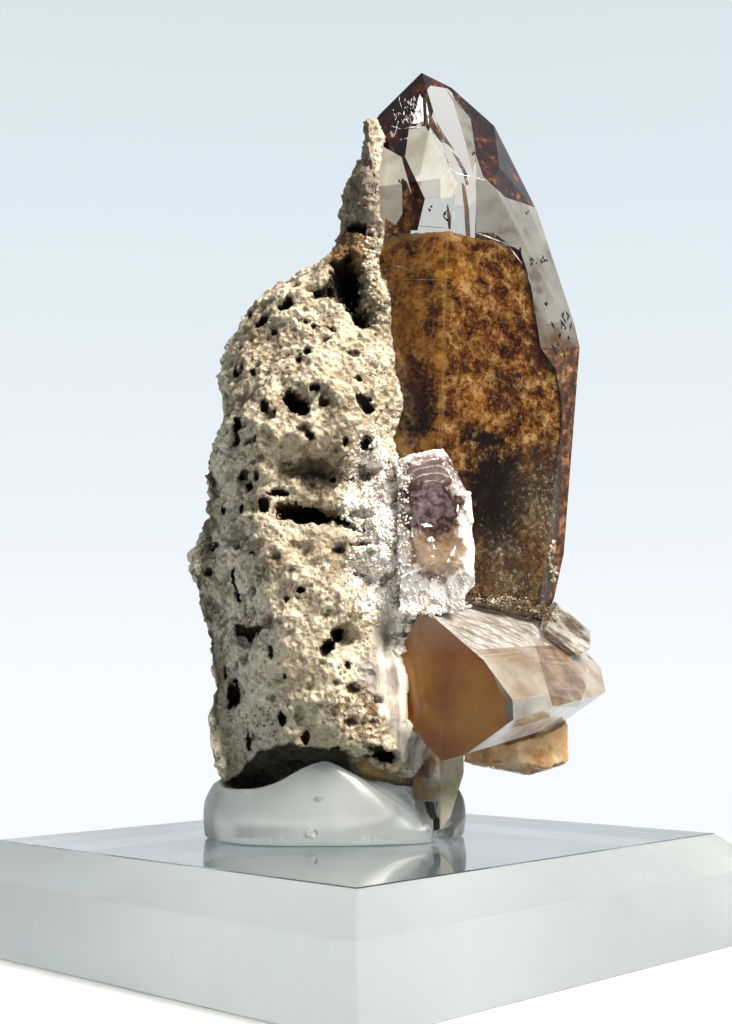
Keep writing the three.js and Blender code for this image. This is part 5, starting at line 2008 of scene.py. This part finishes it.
# %% Gel bubbles
air = mottled(
    "air_in_gel",
    {"Scale": 1.2, "Detail": 3.0},
    [(0.42, "#9aa0a4"), (0.52, "#bcc1c2"), (0.62, "#dcdfde")],
    Roughness=0.4,
    IOR=1.3,
    Specular_IOR_Level=0.2,
    Transmission_Weight=0.3,
)
# right and up of each bubble, and its half width and half height
BUBBLES = [(-3.0, 12.9, 0.42, 0.3), (-3.6, 10.1, 0.5, 0.4)]
BUBBLE_DEPTH = 0.035
gel_tree = BVHTree.FromObject(gel, bpy.context.evaluated_depsgraph_get())
shape = bmesh.new()
for right, up, wide, tall in BUBBLES:
    spot = gel_tree.ray_cast(place(right, -FAR_OFF, up), AWAY)[0]
    matrix = Matrix.Translation(spot) @ Matrix.Rotation(SPECIMEN_TURN, 4, "Z")
    matrix @= Matrix.Diagonal((wide * MM, BUBBLE_DEPTH * MM, tall * MM, 1))
    bmesh.ops.create_icosphere(shape, subdivisions=3, radius=1, matrix=matrix)
bubbles_in_gel = closed_piece(shape, "gel_bubbles", air)
smooth(bubbles_in_gel)

# %% [markdown]
# ## Acrylic block
# It is cast acrylic, sawn and bevelled. Its top is polished like glass and mirrors the gel. Its sides and its
# broad bevels were sanded and not polished, so they are satin and glow an even pale grey.

# %% Polished and satin acrylic
polished, tree, shader, mm = new_material(
    "polished_acrylic", absorbs=("#c0cccc", 6.0), IOR=ACRYLIC_IOR, Transmission_Weight=1.0
)
haze = add(tree, "ShaderNodeTexNoise", {"Vector": mm, "Scale": 0.12, "Detail": 2.0})
haze_stops = [(0.3, "#c8d0d0"), (0.7, "#d4dada")]
haze_colour = add(tree, "ShaderNodeValToRGB", {"Fac": haze}, stops=haze_stops)
smears = add(tree, "ShaderNodeMapRange", {"Value": haze, "To Min": 0.0, "To Max": 0.05})
tree.links.new(haze_colour.outputs[0], shader.inputs["Base Color"])
tree.links.new(smears.outputs[0], shader.inputs["Roughness"])
satin, tree, shader, mm = new_material(
    "satin_acrylic", absorbs=("#ccd8da", 2.0), Roughness=0.55, IOR=ACRYLIC_IOR, Transmission_Weight=0.92
)
wipe = {"Vector": mm, "Rotation": (0, math.radians(25), 0), "Scale": (0.3, 0.3, 0.05)}
wipe = add(tree, "ShaderNodeMapping", wipe)
wipe = add(tree, "ShaderNodeTexNoise", {"Vector": wipe, "Scale": 1.0, "Detail": 5.0})
satin_stops = [(0.35, "#f0f4f5"), (0.65, "#f9fbfb")]
satin_colour = add(tree, "ShaderNodeValToRGB", {"Fac": wipe}, stops=satin_stops)
tree.links.new(satin_colour.outputs[0], shader.inputs["Base Color"])
print(polished.name, "and", satin.name)

# %% [markdown]
# ### The block's body
# Its edges are worn by a tenth of a millimetre. A face that looks up or down is polished, and the others are
# satin.

# %% Acrylic block
BLOCK_EDGE = 0.1 * MM
BLOCK_FINISHES = (polished, satin)
POLISHED, SATIN = range(len(BLOCK_FINISHES))

block = crystal("acrylic_base", "acrylic_block", BLOCK_EDGE, *BLOCK_FINISHES)
for face in block.data.polygons:
    face.material_index = POLISHED if abs(face.normal.z) > 0.9 else SATIN
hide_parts("acrylic_base")
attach(block, "root")
print("acrylic block:", len(block.data.polygons), "faces")

# %% [markdown]
# ## Light
# The room is a bright white sweep of paper. Its light comes from behind and above, and less comes from the
# camera's side. The sheet of paper under the block fades out into the sweep. A lamp to the upper right gives
# the rock its sunlit side.

# %% World
world = bpy.data.worlds.new("studio")
bpy.context.scene.world = world
world.use_nodes = True
tree = world.node_tree
tree.nodes.clear()
direction = add(tree, "ShaderNodeTexCoord").outputs["Generated"]
height = add(tree, "ShaderNodeSeparateXYZ", {"Vector": direction})
sky_stops = [(0.0, "#f8fcfe"), (0.10, "#eef5fb"), (0.30, "#e0ebf3"), (0.45, "#d8e3ea")]
sky = add(tree, "ShaderNodeValToRGB", {"Fac": height.outputs["Z"]}, stops=sky_stops)
facing = {0: direction, 1: tuple(AWAY)}
facing = add(tree, "ShaderNodeVectorMath", facing, operation="DOT_PRODUCT").outputs["Value"]
strength = {"Value": facing, "From Min": -0.45, "From Max": 0.35, "To Min": 0.2, "To Max": 1.0}
strength = add(tree, "ShaderNodeMapRange", strength)
seen = add(tree, "ShaderNodeLightPath").outputs["Is Camera Ray"]
shown = add(tree, "ShaderNodeMath", {0: strength, 1: seen}, operation="MAXIMUM")
backdrop = add(tree, "ShaderNodeBackground", {"Color": sky, "Strength": shown})
add(tree, "ShaderNodeOutputWorld", {"Surface": backdrop})
print("the sweep gives full light from behind and a fifth of it from the front")

# %% [markdown]
# ### Paper
# The paper lies a hair below the block, so that the two don't share one plane. Its alpha fades with the
# distance from the middle.

# %% Paper
PAPER_FADES_FROM = 45.0
PAPER_GONE_AT = 110.0
PAPER_HALF = 0.15
PAPER_BELOW = 0.03

paper, tree, shader, mm = new_material("pale_paper", Roughness=0.85)
fibre = add(tree, "ShaderNodeTexNoise", {"Vector": mm, "Scale": 0.4, "Detail": 6.0})
paper_stops = [(0.3, "#c6c9cb"), (0.7, "#ced1d3")]
paper_colour = add(tree, "ShaderNodeValToRGB", {"Fac": fibre}, stops=paper_stops)
tree.links.new(paper_colour.outputs[0], shader.inputs["Base Color"])
from_middle = add(tree, "ShaderNodeVectorMath", {0: mm}, operation="LENGTH").outputs["Value"]
fade = {"Value": from_middle, "From Min": PAPER_FADES_FROM, "From Max": PAPER_GONE_AT}
fade |= {"To Min": 1.0, "To Max": 0.0}
fade = add(tree, "ShaderNodeMapRange", fade, interpolation_type="SMOOTHSTEP")
tree.links.new(fade.outputs[0], shader.inputs["Alpha"])
shape = bmesh.new()
bmesh.ops.create_grid(shape, x_segments=1, y_segments=1, size=PAPER_HALF)
for corner in shape.verts:
    corner.co.z = -PAPER_BELOW * MM
floor = new_piece("floor", as_mesh(shape, "floor"), paper)
print("the paper fades out", PAPER_GONE_AT, "mm from the middle of the block")

# %% [markdown]
# ### Lamp
# A square lamp of 20 cm, nearly half a metre away, gives soft but clear shadows. Its light is a little warm.

# %% Lamp
LAMP_SIZE = 0.2
LAMP_FAR = 0.45
LAMP_WATTS = 6.8

lamp = bpy.data.objects.new("key_lamp", bpy.data.lights.new("key_lamp", "AREA"))
lamp.data.size = LAMP_SIZE
lamp.data.energy = LAMP_WATTS
lamp.data.color = linear("#fff8ec")[:3]
lamp_from = (RIGHT * 0.60 - AWAY * 0.52 + UP * 0.76).normalized()
lamp.location = place(0, 0, 40) + lamp_from * LAMP_FAR
lamp.rotation_euler = lamp_from.to_track_quat("Z", "Y").to_euler()
bpy.context.scene.collection.objects.link(lamp)
bpy.context.scene.view_settings.view_transform = "Standard"
print("the lamp stands", round(math.degrees(math.asin(lamp_from.z))), "degrees above the floor")
